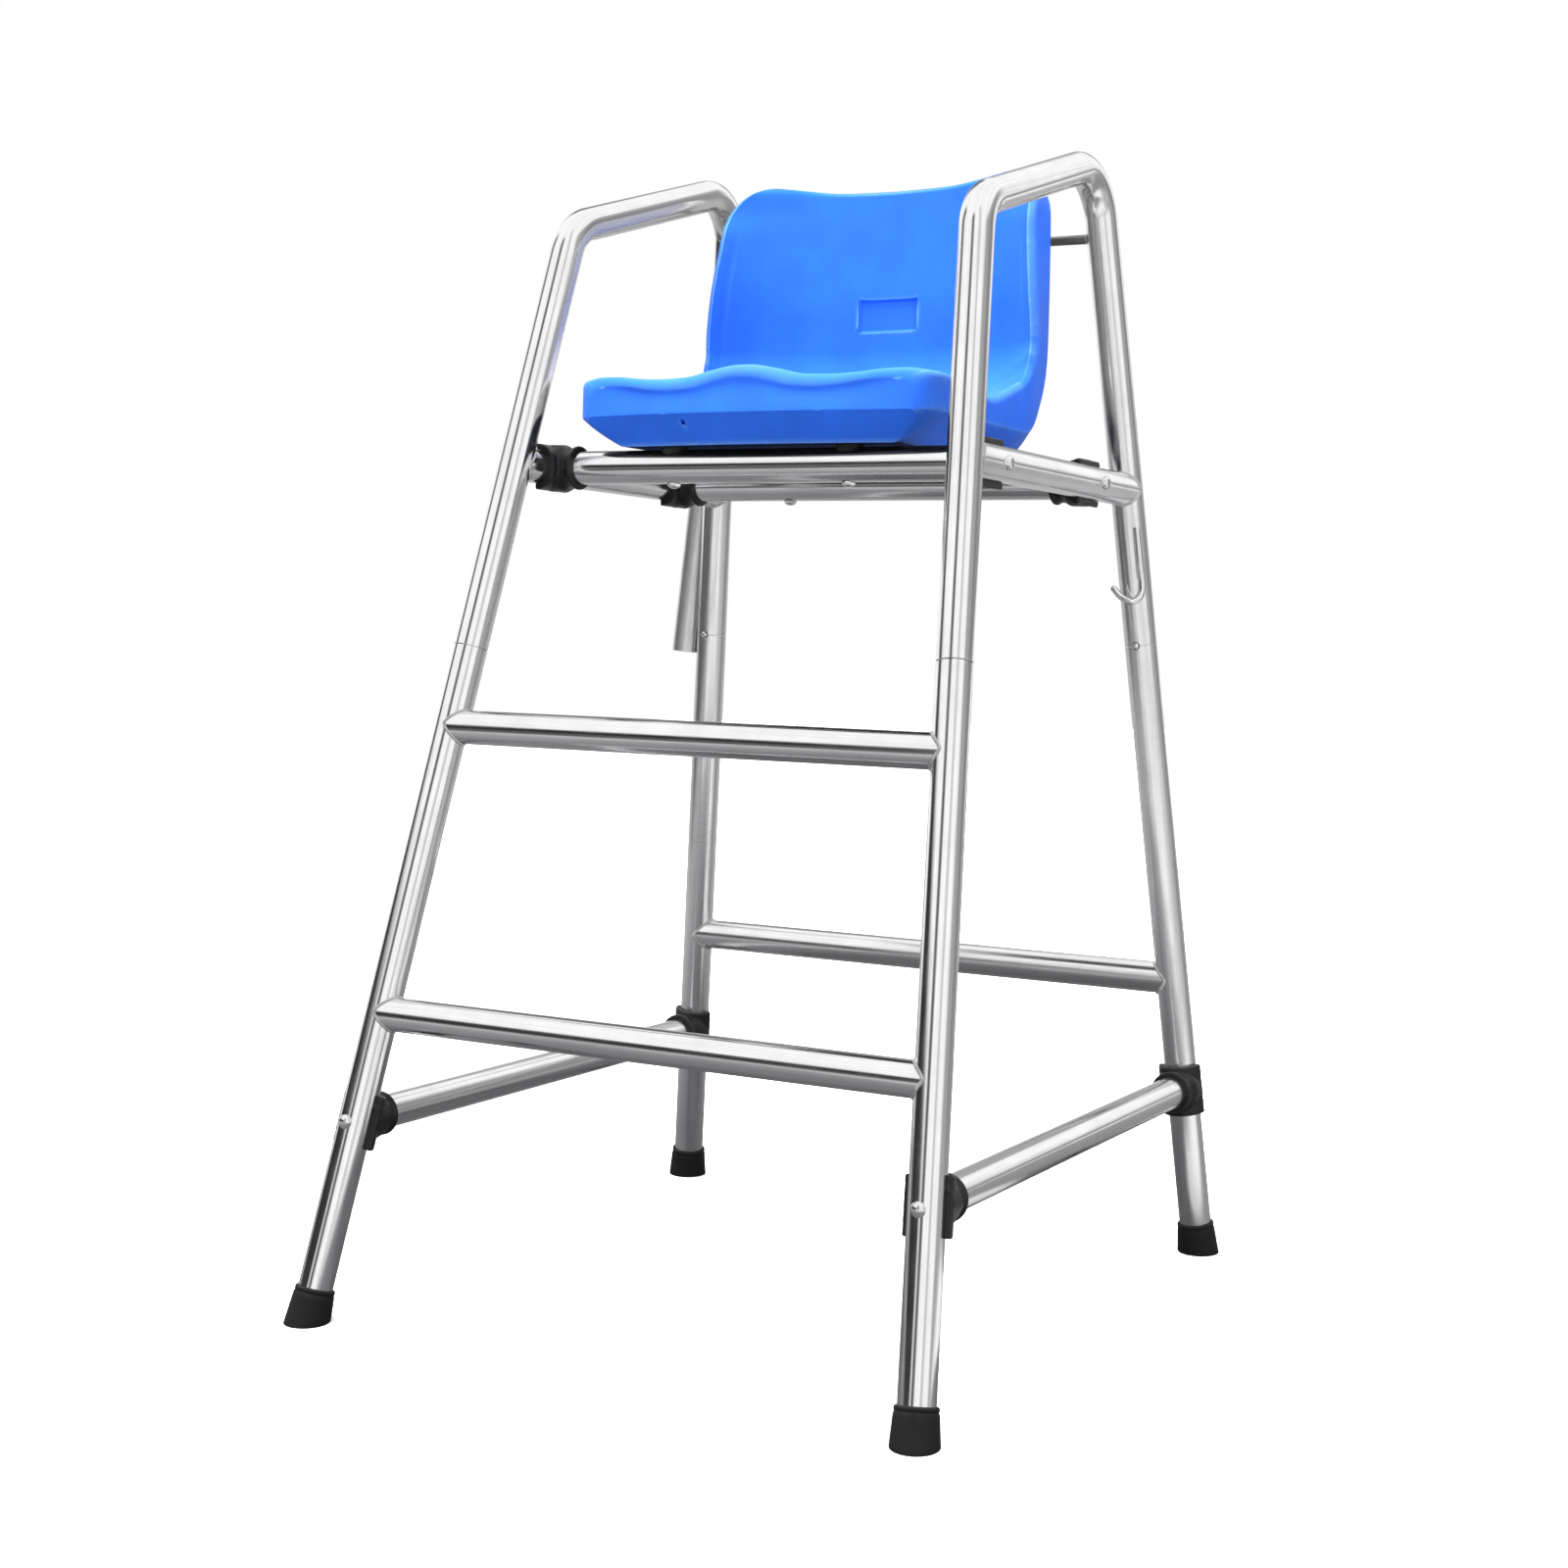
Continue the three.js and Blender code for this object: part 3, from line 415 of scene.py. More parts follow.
def setSockets(made, values):
    for label, value in values.items():
        made.inputs[label.replace("_", " ")].default_value = value


def newMaterial(name, **values):
    material = bpy.data.materials.new(name)
    material.use_nodes = True
    tree = material.node_tree
    shader = tree.nodes["Principled BSDF"]
    setSockets(shader, values)
    return material, tree, shader


def groupNode(tree, key, **values):
    made = tree.nodes.new("ShaderNodeGroup")
    made.node_tree = shaderGroups[key]
    setSockets(made, values)
    return made.outputs


def bumpNode(tree, shader, height, strength, distance):
    bump = node(tree, "ShaderNodeBump", {"Height": height, "Strength": strength, "Distance": distance})
    tree.links.new(bump.outputs[0], shader.inputs["Normal"])


# The polish is duller on the rear of the frame, between these places along Y
rearPolish = {"from": 0.12, "to": 0.34, "rougher": 0.07}


def makeSteel(name, light, dark, smooth, rough, across, along, relief):
    material, tree, shader = newMaterial(name, Metallic=1.0)
    streaks = groupNode(tree, "streaks", Across=across, Along=along)
    fine = mathNode(tree, "MULTIPLY", streaks["Streak"], 0.6)
    slow = mathNode(tree, "MULTIPLY", streaks["Cloud"], 0.4)
    tone = rangeNode(tree, mathNode(tree, "ADD", fine, slow), fromLow=0.35, fromHigh=0.65)
    tree.links.new(mixColours(tree, tone, dark, light), shader.inputs["Base Color"])
    behind = partsOf(tree, objectPlace(tree))[1]
    duller = rangeNode(tree, behind, rearPolish["from"], rearPolish["to"], 0.0, rearPolish["rougher"])
    gloss = mathNode(tree, "ADD", rangeNode(tree, tone, toLow=rough, toHigh=smooth), duller)
    tree.links.new(gloss, shader.inputs["Roughness"])
    bumpNode(tree, shader, streaks["Streak"], relief, 0.00005)
    return material


dustGrey = (0.5, 0.5, 0.5, 1)
plainRub = {"low": 0.52, "high": 0.62, "share": 0.35, "patchiness": 1.0}


def toned(colour, factor):
    return [min(part * factor, 1) for part in colour[:3]] + [1]


def makePlastic(name, colour, wearAndHighlight, smooth, rough, grainScale, relief, distance, dust, specular=0.5,
                edgeWearAndHighlight=plainRub, mirroredAs=None, under=None):
    material, tree, shader = newMaterial(name, Specular_IOR_Level=specular)
    grain = groupNode(tree, "grain", Grain_Scale=grainScale)
    edges = groupNode(tree, "edges", Low=edgeWearAndHighlight["low"], High=edgeWearAndHighlight["high"], Patchiness=edgeWearAndHighlight["patchiness"])
    settled = groupNode(tree, "dust", Amount=dust)
    cloudy = rangeNode(tree, grain["Wave"], fromLow=0.35, fromHigh=0.65)
    shade = mixColours(tree, cloudy, toned(colour, 0.93), toned(colour, 1.06))
    # proud edges take a paler colour: real wear on the black parts, a painted highlight along the blue
    # shell's edges
    shade = mixColours(tree, mathNode(tree, "MULTIPLY", edges["Edge"], edgeWearAndHighlight["share"]), shade, wearAndHighlight)
    shade = mixColours(tree, settled["Dust"], shade, dustGrey)
    gloss = rangeNode(tree, grain["Grain"], fromLow=0.3, fromHigh=0.7, toLow=smooth, toHigh=rough)
    geometry = node(tree, "ShaderNodeNewGeometry")
    upwards = partsOf(tree, geometry.outputs["Normal"])[2]
    if under:
        # the flat underside is painted darker as painted shade, and given a duller, rougher face
        below = rangeNode(tree, upwards, fromLow=-0.9, fromHigh=-0.97)
        shade = mixColours(tree, below, shade, under)
        gloss = mathNode(tree, "MAXIMUM", gloss, mathNode(tree, "MULTIPLY", below, 0.9))
    if mirroredAs:
        # steel beside it shows it as a painted reflection: a plain grey shape, painted dark where it faces
        # down
        path = node(tree, "ShaderNodeLightPath")
        underneath = rangeNode(tree, upwards, fromLow=-0.15, fromHigh=-0.5)
        mirrored = mixColours(tree, underneath, mirroredAs, (0.01, 0.01, 0.01, 1))
        glossy = mathNode(tree, "MULTIPLY", path.outputs["Is Glossy Ray"], 0.97)
        shade = mixColours(tree, glossy, shade, mirrored)
    tree.links.new(shade, shader.inputs["Base Color"])
    tree.links.new(gloss, shader.inputs["Roughness"])
    bumpNode(tree, shader, grain["Grain"], relief, distance)
    return material


finishes = {
    "steel": makeSteel("polishedStainless", (0.88, 0.88, 0.885, 1), (0.76, 0.76, 0.77, 1),
                       smooth=0.1, rough=0.19, across=60, along=0.6, relief=0.14),
    "bolt": makeSteel("domeBoltSteel", (0.88, 0.88, 0.88, 1), (0.76, 0.76, 0.77, 1),
                      smooth=0.12, rough=0.22, across=20, along=20, relief=0.06),
    "weld": makeSteel("weldMetal", (0.74, 0.73, 0.71, 1), (0.5, 0.48, 0.46, 1),
                      smooth=0.22, rough=0.42, across=12, along=12, relief=0.2),
    "spring": makeSteel("springStrip", (0.5, 0.51, 0.53, 1), (0.36, 0.37, 0.38, 1),
                        smooth=0.25, rough=0.4, across=30, along=2, relief=0.1),
    "bar": makeSteel("tieBarSteel", (0.36, 0.36, 0.35, 1), (0.24, 0.24, 0.23, 1),
                     smooth=0.26, rough=0.4, across=24, along=3, relief=0.12),
    "nylon": makePlastic("blackNylon", (0.009, 0.009, 0.01, 1), (0.09, 0.09, 0.09, 1), smooth=0.3, rough=0.44,
                         grainScale=1400, relief=0.25, distance=0.0002, dust=0.02, specular=0.3),
    "rubber": makePlastic("footRubber", (0.009, 0.009, 0.0095, 1), (0.05, 0.05, 0.05, 1),
                          smooth=0.62, rough=0.8, grainScale=1100, relief=0.35, distance=0.0003, dust=0.03,
                          specular=0.22),
    "satin": makeSteel("satinStainless", (0.8, 0.8, 0.8, 1), (0.68, 0.68, 0.68, 1),
                       smooth=0.26, rough=0.36, across=40, along=1, relief=0.04),
    # the blue shell's pale edge colour is a painted highlight along its lip and rims
    "shell": makePlastic("blueShell", (0.033, 0.174, 0.95, 1), (0.42, 0.8, 1.0, 1), smooth=0.44, rough=0.58,
                         grainScale=1500, relief=0.2, distance=0.00015, dust=0.0, specular=0.1,
                         edgeWearAndHighlight={"low": 0.506, "high": 0.56, "share": 0.55, "patchiness": 0.25},
                         # the dark navy given for the underside is painted shade
                         mirroredAs=(0.33, 0.32, 0.285, 1), under=(0.01, 0.035, 0.15, 1)),
}
print("materials made")


# Steel tubes

buttonHole = {"radius": 0.005, "seam": 0.0008, "rises": {"front": 0.733, "rear": 0.745}}

sideFrame = {"frontCornerRise": 1.212, "rearCornerRise": 1.3056, "bendRadius": 0.055}
lowerLegBottom = 0.01

# Places of a tube's columns along its girth from the button, in millimetres, and the count on the rest
buttonColumns = {"near": [0.7, 1.4, 2.1, 2.8, 3.4, 3.9, 4.3, 4.6, 4.8, 4.92, 5.0, 5.1, 5.5, 6.2], "rest": 50}


# Columns crowd round the button, which is at angle zero
def buttonAngles():
    radius = frameTube["radius"]
    marks = [side * spot * 0.001 / radius for spot in buttonColumns["near"] for side in (1, -1)] + [0.0]
    gap = max(marks)
    rest = buttonColumns["rest"]
    marks += [gap + (2 * math.pi - 2 * gap) * index / rest for index in range(1, rest)]
    return sorted(mark % (2 * math.pi) for mark in marks)


# Half of a round hole at the end of a tube
def notchEnd(rings, ends, angles, inward):
    radius = frameTube["radius"]
    edge, lead = rings[ends[0]], rings[ends[1]]
    for column, angle in enumerate(angles):
        offset = (angle if angle < math.pi else angle - 2 * math.pi) * radius
        if abs(offset) >= buttonHole["radius"]:
            continue
        depth = math.sqrt(buttonHole["radius"] ** 2 - offset ** 2) - buttonHole["seam"] / 2
        if depth > 0:
            edge[column] = edge[column] + inward * depth
            lead[column] = lead[column] + inward * depth


def easeRim(rings, edgeIndex, centre, amount):
    rings[edgeIndex] = [point + (centre - point).normalized() * amount for point in rings[edgeIndex]]


def makeSideFrame(sideName, side):
    half = buttonHole["seam"] / 2
    corners = [legPoint(side, end, rise) for end, rise in (
        ("front", buttonHole["rises"]["front"] + half), ("front", sideFrame["frontCornerRise"]),
        ("rear", sideFrame["rearCornerRise"]), ("rear", buttonHole["rises"]["rear"] + half))]
    points = withEndStations(roundedPath(corners, sideFrame["bendRadius"], frameTube["bendStep"]))
    angles = buttonAngles()

    def shape(outer, inner):
        for ends in ((0, 1), (-1, -2)):
            inward = (points[ends[1]] - points[ends[0]]).normalized()
            for rings in (outer, inner):
                notchEnd(rings, ends, angles, inward)
            easeRim(outer, ends[0], points[ends[0]], frameTube["endRound"])

    bm = bmesh.new()
    walledTube(bm, points, buttonFacing(side, "front"), angles, frameTube["radius"], frameTube["wall"], shape)
    addPiece("bent_tube_" + sideName, bm, ["steel"], "stainless_tube", "side_frame_" + sideName)


def makeLowerLeg(sideName, side, end):
    direction = legDirection(side, end)
    foot = legPoint(side, end, 0)
    top = buttonHole["rises"][end] / math.cos(stance[end + "Rake"]) - buttonHole["seam"] / 2
    points = withEndStations([foot + direction * lowerLegBottom, foot + direction * top])
    angles = buttonAngles()

    def shape(outer, inner):
        for rings in (outer, inner):
            notchEnd(rings, (-1, -2), angles, -direction)
        easeRim(outer, -1, points[-1], frameTube["endRound"])

    bm = bmesh.new()
    walledTube(bm, points, buttonFacing(side, end), angles, frameTube["radius"], frameTube["wall"], shape)
    addPiece(f"leg_tube_{end}_{sideName}", bm, ["steel"], "stainless_tube", f"lower_leg_{end}_{sideName}")


weldedKinds = {
    "tube": {"radius": frameTube["radius"], "wall": frameTube["wall"], "finish": "steel", "bead": 0.0017},
    "rod": {"radius": 0.0055, "wall": 0, "finish": "bar", "bead": 0.0012},
}


# A tube or rod coped to the two tubes that carry its ends, each a point and a direction
def makeWeldedTube(name, cadNode, carriers, kind="tube"):
    size = weldedKinds[kind]
    start, end = carriers[0][0], carriers[1][0]
    along = (end - start).normalized()
    meet = frameTube["radius"] + frameTube["fitGap"]
    girth = 2 * math.pi * size["radius"]
    runs = [0, (end - start).length]
    radii = [size["radius"], size["radius"] - size["wall"]] if size["wall"] else [size["radius"]]
    skins = []
    for radius in radii:
        rings, _ = ringsAlong([start, end], radius, upward, evenAngles(frameTube["columns"]))
        skins.append([copeRing(ring, along, origin, axis, meet, sign)
                      for ring, (origin, axis), sign in zip(rings, carriers, (1, -1))])
    bm = bmesh.new()
    if size["wall"]:
        skin(bm, skins[0] + skins[1][::-1], runs + runs[::-1], girth, closed=True)
    else:
        cappedSkin(bm, skins[0], runs, girth)
    for ring in skins[0]:
        weldBead(bm, ring, start, along, size["bead"])
    addPiece(name, bm, [size["finish"], "weld"], "stainless_tube", cadNode)


for sideName, side in sideSigns.items():
    makeSideFrame(sideName, side)
    for end in legEnds:
        makeLowerLeg(sideName, side, end)

railRises = {"front": 0.941, "rear": 0.927}

crossTubes = [
    {"name": "rung_tube_lower", "cadNode": "rung_lower", "end": "front", "rise": 0.3304, "kind": "tube"},
    {"name": "rung_tube_upper", "cadNode": "rung_upper", "end": "front", "rise": 0.6448, "kind": "tube"},
    {"name": "crossbar_tube", "cadNode": "rear_crossbar", "end": "rear", "rise": 0.3405, "kind": "tube"},
    {"name": "tie_bar", "cadNode": "tie_rod", "end": "rear", "rise": 1.219, "kind": "rod"},
]


def railEnds(side):
    return [legPoint(side, end, railRises[end]) for end in legEnds]


for sideName, side in sideSigns.items():
    carriers = [(point, legDirection(side, end)) for point, end in zip(railEnds(side), legEnds)]
    makeWeldedTube("rail_tube_" + sideName, "seat_rail_" + sideName, carriers)

for tube in crossTubes:
    carriers = [(legPoint(side, tube["end"], tube["rise"]), legDirection(side, tube["end"]))
                for side in (-1, 1)]
    makeWeldedTube(tube["name"], tube["cadNode"], carriers, tube["kind"])
print("welded frame made")


# Branch tubes in saddle fittings

fitting = {
    "padLength": 0.06,
    "padThickness": 0.007,
    "padSetback": 0.0015,
    "padBite": 0.004,
    "padEase": 0.0012,
    "padSteps": 36,
    "collarReach": 0.043,
    "collarWall": 0.0032,
    "collarBead": 0.0024,
    # what is added to a radius of the collar, and the height along it or down from its mouth
    "collarBase": [("bead", 0.002, 0.004), ("bead", 0.0015, 0.022), ("body", 0.0006, 0.028),
                   ("body", 0, 0.031)],
    "collarMouth": [("body", 0, 0.0068), ("bead", -0.0006, 0.0048), ("bead", 0, 0.0035), ("bead", 0, 0.001),
                    ("bead", -0.001, 0)],
    "socketFloor": 0.027,
    "branchLead": 0.02,
    "boreOverrun": 0.02,
    "voxel": 0.0011,
}

seatRow = {"middleBehind": 0.061, "halfPitch": 0.135}


def railPoint(side, behind):
    front, rear = railEnds(side)
    return front.lerp(rear, (behind - front.y) / (rear.y - front.y))


def seatPlace():
    middle = railPoint(1, seatRow["middleBehind"])
    front, rear = railEnds(1)
    slope = math.atan2(rear.z - front.z, rear.y - front.y)
    return Matrix.Translation((0, middle.y, middle.z)) @ Matrix.Rotation(slope, 4, "X")


def tubeEnd(side, row):
    behind = (seatPlace() @ Vector((0, row * seatRow["halfPitch"], 0))).y
    return railPoint(side, behind)


def makeBranchTube(name, cadNode, start, end):
    along = (end - start).normalized()
    floor = fitting["socketFloor"] + frameTube["fitGap"]
    lead = floor + fitting["branchLead"]
    points = [start + along * floor, start + along * lead, end - along * lead, end - along * floor]
    bm = bmesh.new()
    rings, runs = ringsAlong(points, frameTube["radius"], upward, evenAngles(frameTube["columns"]))
    cappedSkin(bm, rings, runs, 2 * math.pi * frameTube["radius"])
    addPiece(name, bm, ["steel"], "stainless_tube", cadNode)


def applyModifier(piece, kind, **settings):
    modifier = piece.modifiers.new(kind.lower(), kind)
    for label, value in settings.items():
        setattr(modifier, label, value)
    graph = bpy.context.evaluated_depsgraph_get()
    fresh = bpy.data.meshes.new_from_object(piece.evaluated_get(graph), depsgraph=graph)
    piece.modifiers.clear()
    old = piece.data
    piece.data = fresh
    bpy.data.meshes.remove(old)


def dropPiece(piece):
    mesh = piece.data
    bpy.data.objects.remove(piece)
    bpy.data.meshes.remove(mesh)


# Round cutter for a bore
def roundBar(origin, axis, radius, low, high, count=96):
    bm = bmesh.new()
    ends = [origin + axis * low, origin + axis * high]
    rings, _ = ringsAlong(ends, radius, axis.orthogonal(), evenAngles(count))
    cappedSkin(bm, rings)
    return addObject("bar", bm, [finishes["nylon"]])


def cutAway(piece, cutters, sharpAngle=40):
    for cutter in cutters:
        applyModifier(piece, "BOOLEAN", operation="DIFFERENCE", object=cutter, solver="EXACT")
        dropPiece(cutter)
    piece.data.set_sharp_from_angle(angle=math.radians(sharpAngle))


# Half-round pad on the carrying tube, its ends eased
def saddlePad(bm, point, axis, near, inner):
    across = axis.cross(near)
    outer = inner + fitting["padThickness"]
    half, easing, steps = fitting["padLength"] / 2, fitting["padEase"], fitting["padSteps"]
    reach = math.acos(fitting["padSetback"] / outer)
    section = [(outer, reach * (2 * i / steps - 1)) for i in range(steps + 1)]
    section += [(inner - fitting["padBite"], reach * (1 - 2 * i / steps)) for i in range(steps + 1)]
    rings = []
    for height, ease in ((-half, easing), (-half + easing, 0.0), (half - easing, 0.0), (half, easing)):
        ring = []
        for radius, angle in section:
            eased = radius - ease if radius == outer else radius
            ring.append(point + axis * height + near * eased * math.cos(angle)
                        + across * eased * math.sin(angle))
        rings.append(ring)
    rows = skin(bm, rings)
    for row in (rows[0], rows[-1]):
        for i in range(steps):
            bm.faces.new((row[i], row[i + 1], row[-i - 2], row[-i - 1]))


# Collar round the branch tube, waisted under its rolled mouth
def collarProfile(inner):
    radii = {"body": inner + fitting["collarWall"]}
    radii["bead"] = radii["body"] + fitting["collarBead"]
    profile = [(radii[key] + more, height) for key, more, height in fitting["collarBase"]]
    return profile + [(radii[key] + more, fitting["collarReach"] - drop)
                      for key, more, drop in fitting["collarMouth"]]


# Moulded saddle: pad and collar melted into one body, then bored for the two tubes
def makeSaddle(name, cadNode, point, axis, target):
    out = (target - point).normalized()
    near = (out - out.dot(axis) * axis).normalized()
    inner = frameTube["radius"] + frameTube["fitGap"]
    half, past = fitting["padLength"] / 2, fitting["boreOverrun"]
    bm = bmesh.new()
    saddlePad(bm, point, axis, near, inner)
    revolve(bm, collarProfile(inner), aim(point, target, axis), frameTube["columns"])
    piece = addObject(name, bm, [finishes["nylon"]], 60)
    applyModifier(piece, "REMESH", mode="VOXEL", voxel_size=fitting["voxel"], use_smooth_shade=True)
    applyModifier(piece, "SMOOTH", factor=0.5, iterations=4)
    cutAway(piece, [roundBar(point, axis, inner, -half - past, half + past),
                    roundBar(point, out, inner, fitting["socketFloor"], fitting["collarReach"] + past)])
    dress(piece, "frame", "black_fitting", cadNode)


domeBolt = {
    "radius": 0.008,
    "height": 0.0052,
    "skirt": 0.0034,
    "rim": 0.0009,
    "shank": 0.004,
    "shankEnd": 0.03,
    "underRound": 0.0003,
    "rimRound": 0.00035,
    "crownShare": 0.95,
    "crownSteps": 12,
    "columns": 40,
}


# Dome head that sits on the far side of the carrying tube
def makeDomeBolt(name, cadNode, point, out, near):
    head, height, rim, shank = (domeBolt[key] for key in ("radius", "height", "rim", "shank"))
    tubeTop = frameTube["radius"] + frameTube["fitGap"]
    under = tubeTop - domeBolt["skirt"]
    profile = [(shank, -domeBolt["shankEnd"]), (shank, under),
               (head - domeBolt["underRound"], under), (head, tubeTop + rim * 0.5),
               (head - domeBolt["rimRound"], tubeTop + rim)]
    steps = domeBolt["crownSteps"]
    profile += [(head * domeBolt["crownShare"] * math.cos(a), tubeTop + rim + (height - rim) * math.sin(a))
                for a in [math.pi / 2 * i / steps for i in range(steps)]]
    bm = bmesh.new()
    revolve(bm, profile, aim(point, point - out, near), domeBolt["columns"])
    addPiece(name, bm, ["bolt"], "bright_bolt", cadNode, sharpAngle=30)


sideRailRises = {"front": 0.216, "rear": 0.206}
for sideName, side in sideSigns.items():
    ends = [legPoint(side, end, sideRailRises[end]) for end in legEnds]
    makeBranchTube("side_tube_" + sideName, "side_rail_" + sideName, ends[0], ends[1])
    for index, end in enumerate(legEnds):
        point, target = ends[index], ends[1 - index]
        axis = legDirection(side, end)
        makeSaddle(f"moulded_saddle_{end}_{sideName}", f"saddle_{end}_{sideName}", point, axis, target)
        makeDomeBolt(f"dome_{end}_{sideName}", f"dome_bolt_{end}_{sideName}", point,
                     (target - point).normalized(), axis)

for rowName, row in (("front", -1), ("rear", 1)):
    makeBranchTube("cross_seat_tube_" + rowName, "seat_tube_" + rowName, tubeEnd(-1, row), tubeEnd(1, row))
    for sideName, side in sideSigns.items():
        point, target = tubeEnd(side, row), tubeEnd(-side, row)
        front, rear = railEnds(side)
        axis = (rear - front).normalized()
        makeSaddle(f"moulded_saddle_seat_{rowName}_{sideName}", f"saddle_seat_{rowName}_{sideName}",
                   point, axis, target)
        makeDomeBolt(f"dome_seat_{rowName}_{sideName}", f"dome_bolt_seat_{rowName}_{sideName}", point,
                     (target - point).normalized(), axis)
print("fittings and bolts made")


# Spring buttons, their leaf springs and rubber feet

springButton = {"radius": 0.004, "proud": 0.0026, "crown": 0.0016, "base": 0.0135, "tip": 0.0004,
                "crownSteps": 8, "columns": 32}


# The button's own place: Z out of the leg, X up the leg
def buttonPlace(side, end):
    centre = legPoint(side, end, buttonHole["rises"][end])
    return aim(centre, centre + buttonFacing(side, end), legDirection(side, end))


def makeSpringButton(sideName, side, end):
    tip = frameTube["radius"] + springButton["proud"]
    radius, crown, steps = springButton["radius"], springButton["crown"], springButton["crownSteps"]
    profile = [(radius, springButton["base"])]
    profile += [(radius * math.cos(a) if i < steps else springButton["tip"],
                 tip - crown + crown * math.sin(a))
                for i, a in enumerate([math.pi / 2 * j / steps for j in range(steps + 1)])]
    bm = bmesh.new()
    revolve(bm, profile, buttonPlace(side, end), springButton["columns"])
    addPiece(f"button_head_{end}_{sideName}", bm, ["bolt"], "bright_bolt", f"spring_button_{end}_{sideName}",
             body=f"button_{end}_{sideName}")


# Heights are measured from the leg's middle towards the button
leafSpring = {
    "lift": 0.005,
    "drop": 0.042,
    "foot": 0.02,
    "nearHeight": 0.0123,
    "farHeight": -0.0146,
    "bend": 0.003,
    "thickness": 0.0008,
    "width": 0.007,
    "corner": 0.0003,
    "longestStep": 0.002,
    "bendStep": math.radians(15),
}


def stripSection():
    corner = leafSpring["corner"]
    halfThickness = leafSpring["thickness"] / 2 - corner
    halfWidth = leafSpring["width"] / 2 - corner
    section = []
    for quarter, (through, across) in enumerate(((1, 1), (-1, 1), (-1, -1), (1, -1))):
        for step in range(4):
            angle = math.radians(90 * quarter + 30 * step)
            section.append((through * halfThickness + corner * math.cos(angle),
                            across * halfWidth + corner * math.sin(angle)))
    return section


def shortSteps(points, longest):
    steps = [points[0]]
    for first, second in zip(points, points[1:]):
        count = math.ceil((second - first).length / longest)
        steps += [first.lerp(second, (spot + 1) / count) for spot in range(count)]
    return steps


# Leaf spring in the spigot: it bends between its foot on the far wall and the button
def makeLeafSpring(sideName, side, end):
    place = buttonPlace(side, end)
    near, far = leafSpring["nearHeight"], leafSpring["farHeight"]
    lift, drop = leafSpring["lift"], leafSpring["drop"]
    corners = [Vector((x, 0, z)) for x, z in (
        (lift, near), (-lift, near), (-drop, far), (leafSpring["foot"] - drop, far))]
    bent = roundedPath(corners, leafSpring["bend"], leafSpring["bendStep"])
    points = shortSteps(bent, leafSpring["longestStep"])
    across = Vector((0, 1, 0))
    rings = []
    for index, point in enumerate(points):
        through = tangentAt(points, index).cross(across)
        rings.append([place @ (point + through * depth + across * aside) for depth, aside in stripSection()])
    bm = bmesh.new()
    cappedSkin(bm, rings)
    piece = addObject(f"leaf_strip_{end}_{sideName}", bm, [finishes["spring"]])
    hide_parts(f"button_spring_{end}_{sideName}")
    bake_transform(piece)


rubberFoot = {
    "top": 0.022,
    "sole": 0.025,
    "sleeve": 0.038,
    "boreFloor": 0.012,
    # mouth and the groove under its lip: what is added to a radius, and the drop from the sleeve's end
    "mouth": [("bore", 0, 0.0008), ("bore", 0.0005, 0), ("top", -0.0012, 0), ("top", -0.0003, 0.0007),
              ("top", 0, 0.0018), ("top", 0, 0.0042), ("top", -0.0006, 0.005), ("top", -0.0002, 0.0062)],
    "coneFrom": 0.008,
    "coneGrown": 0.006,
    "coneSteps": 10,
    "coneShare": 0.965,
    # how far in and how high the last rings lie at the floor
    "soleEdge": [(0.0004, 0.0005), (0.0012, 0.0)],
    "soleMiddle": 0.5,
    "columns": 72,
}


# The foot's cone follows the raked leg and is sliced flat at the floor
def makeFoot(sideName, side, end):
    centre = legPoint(side, end, 0)
    place = aim(centre, centre + legDirection(side, end), outOf(side))
    angles = evenAngles(rubberFoot["columns"])
    bore = frameTube["radius"] + frameTube["fitGap"]
    top, sleeve, coneFrom = rubberFoot["top"], rubberFoot["sleeve"], rubberFoot["coneFrom"]
    flare = (rubberFoot["sole"] - top) / sleeve
    # up the bore, over the rounded mouth and down to the groove under the lip
    radii = {"bore": bore, "top": top}
    upper = [(bore, rubberFoot["boreFloor"])]
    upper += [(radii[key] + more, sleeve - fall) for key, more, fall in rubberFoot["mouth"]]
    rings = [turnedRing(place, radius, height, angles) for radius, height in upper]
    coneTop = top + flare * rubberFoot["coneGrown"]
    sliced = []
    for a in angles:
        point = place @ Vector((coneTop * math.cos(a), coneTop * math.sin(a), sleeve - coneFrom))
        fall = place.to_3x3() @ Vector((flare * math.cos(a), flare * math.sin(a), -1))
        sliced.append((point, fall * ((0.0 - point.z) / fall.z)))
    steps = rubberFoot["coneSteps"]
    for step in range(steps + 1):
        share = step / steps * rubberFoot["coneShare"]
        rings.append([point + fall * share for point, fall in sliced])
    rim = [point + fall for point, fall in sliced]
    middle = sum(rim, Vector()) / len(rim)
    for inset, rise in rubberFoot["soleEdge"]:
        rings.append([Vector((p.x, p.y, rise)) + (middle - p).normalized() * inset for p in rim])
    rings.append([Vector((middle.x, middle.y, 0.0)) + (p - middle) * rubberFoot["soleMiddle"] for p in rim])
    for p in rings[-1]:
        p.z = 0.0
    bm = bmesh.new()
    cappedSkin(bm, rings)
    addPiece(f"foot_cap_{end}_{sideName}", bm, ["rubber"], "rubber", f"rubber_foot_{end}_{sideName}",
             sharpAngle=40)


for sideName, side in sideSigns.items():
    for end in legEnds:
        makeSpringButton(sideName, side, end)
        makeLeafSpring(sideName, side, end)
        makeFoot(sideName, side, end)
print("buttons and feet made")


# Umbrella tube and bag hook

umbrellaTube = {
    "radius": 0.017,
    "wall": 0.0015,
    "bottomRise": 0.717,
    "length": 0.232,
    "tilt": math.radians(7.7),
    "crossing": 0.04,
    "lugRise": 0.905,
    "lugHeight": 0.026,
    "lugThickness": 0.005,
    "lugBites": (0.0005, 0.0007),
    "rimEase": 0.0004,
    "rimLead": 0.003,
}


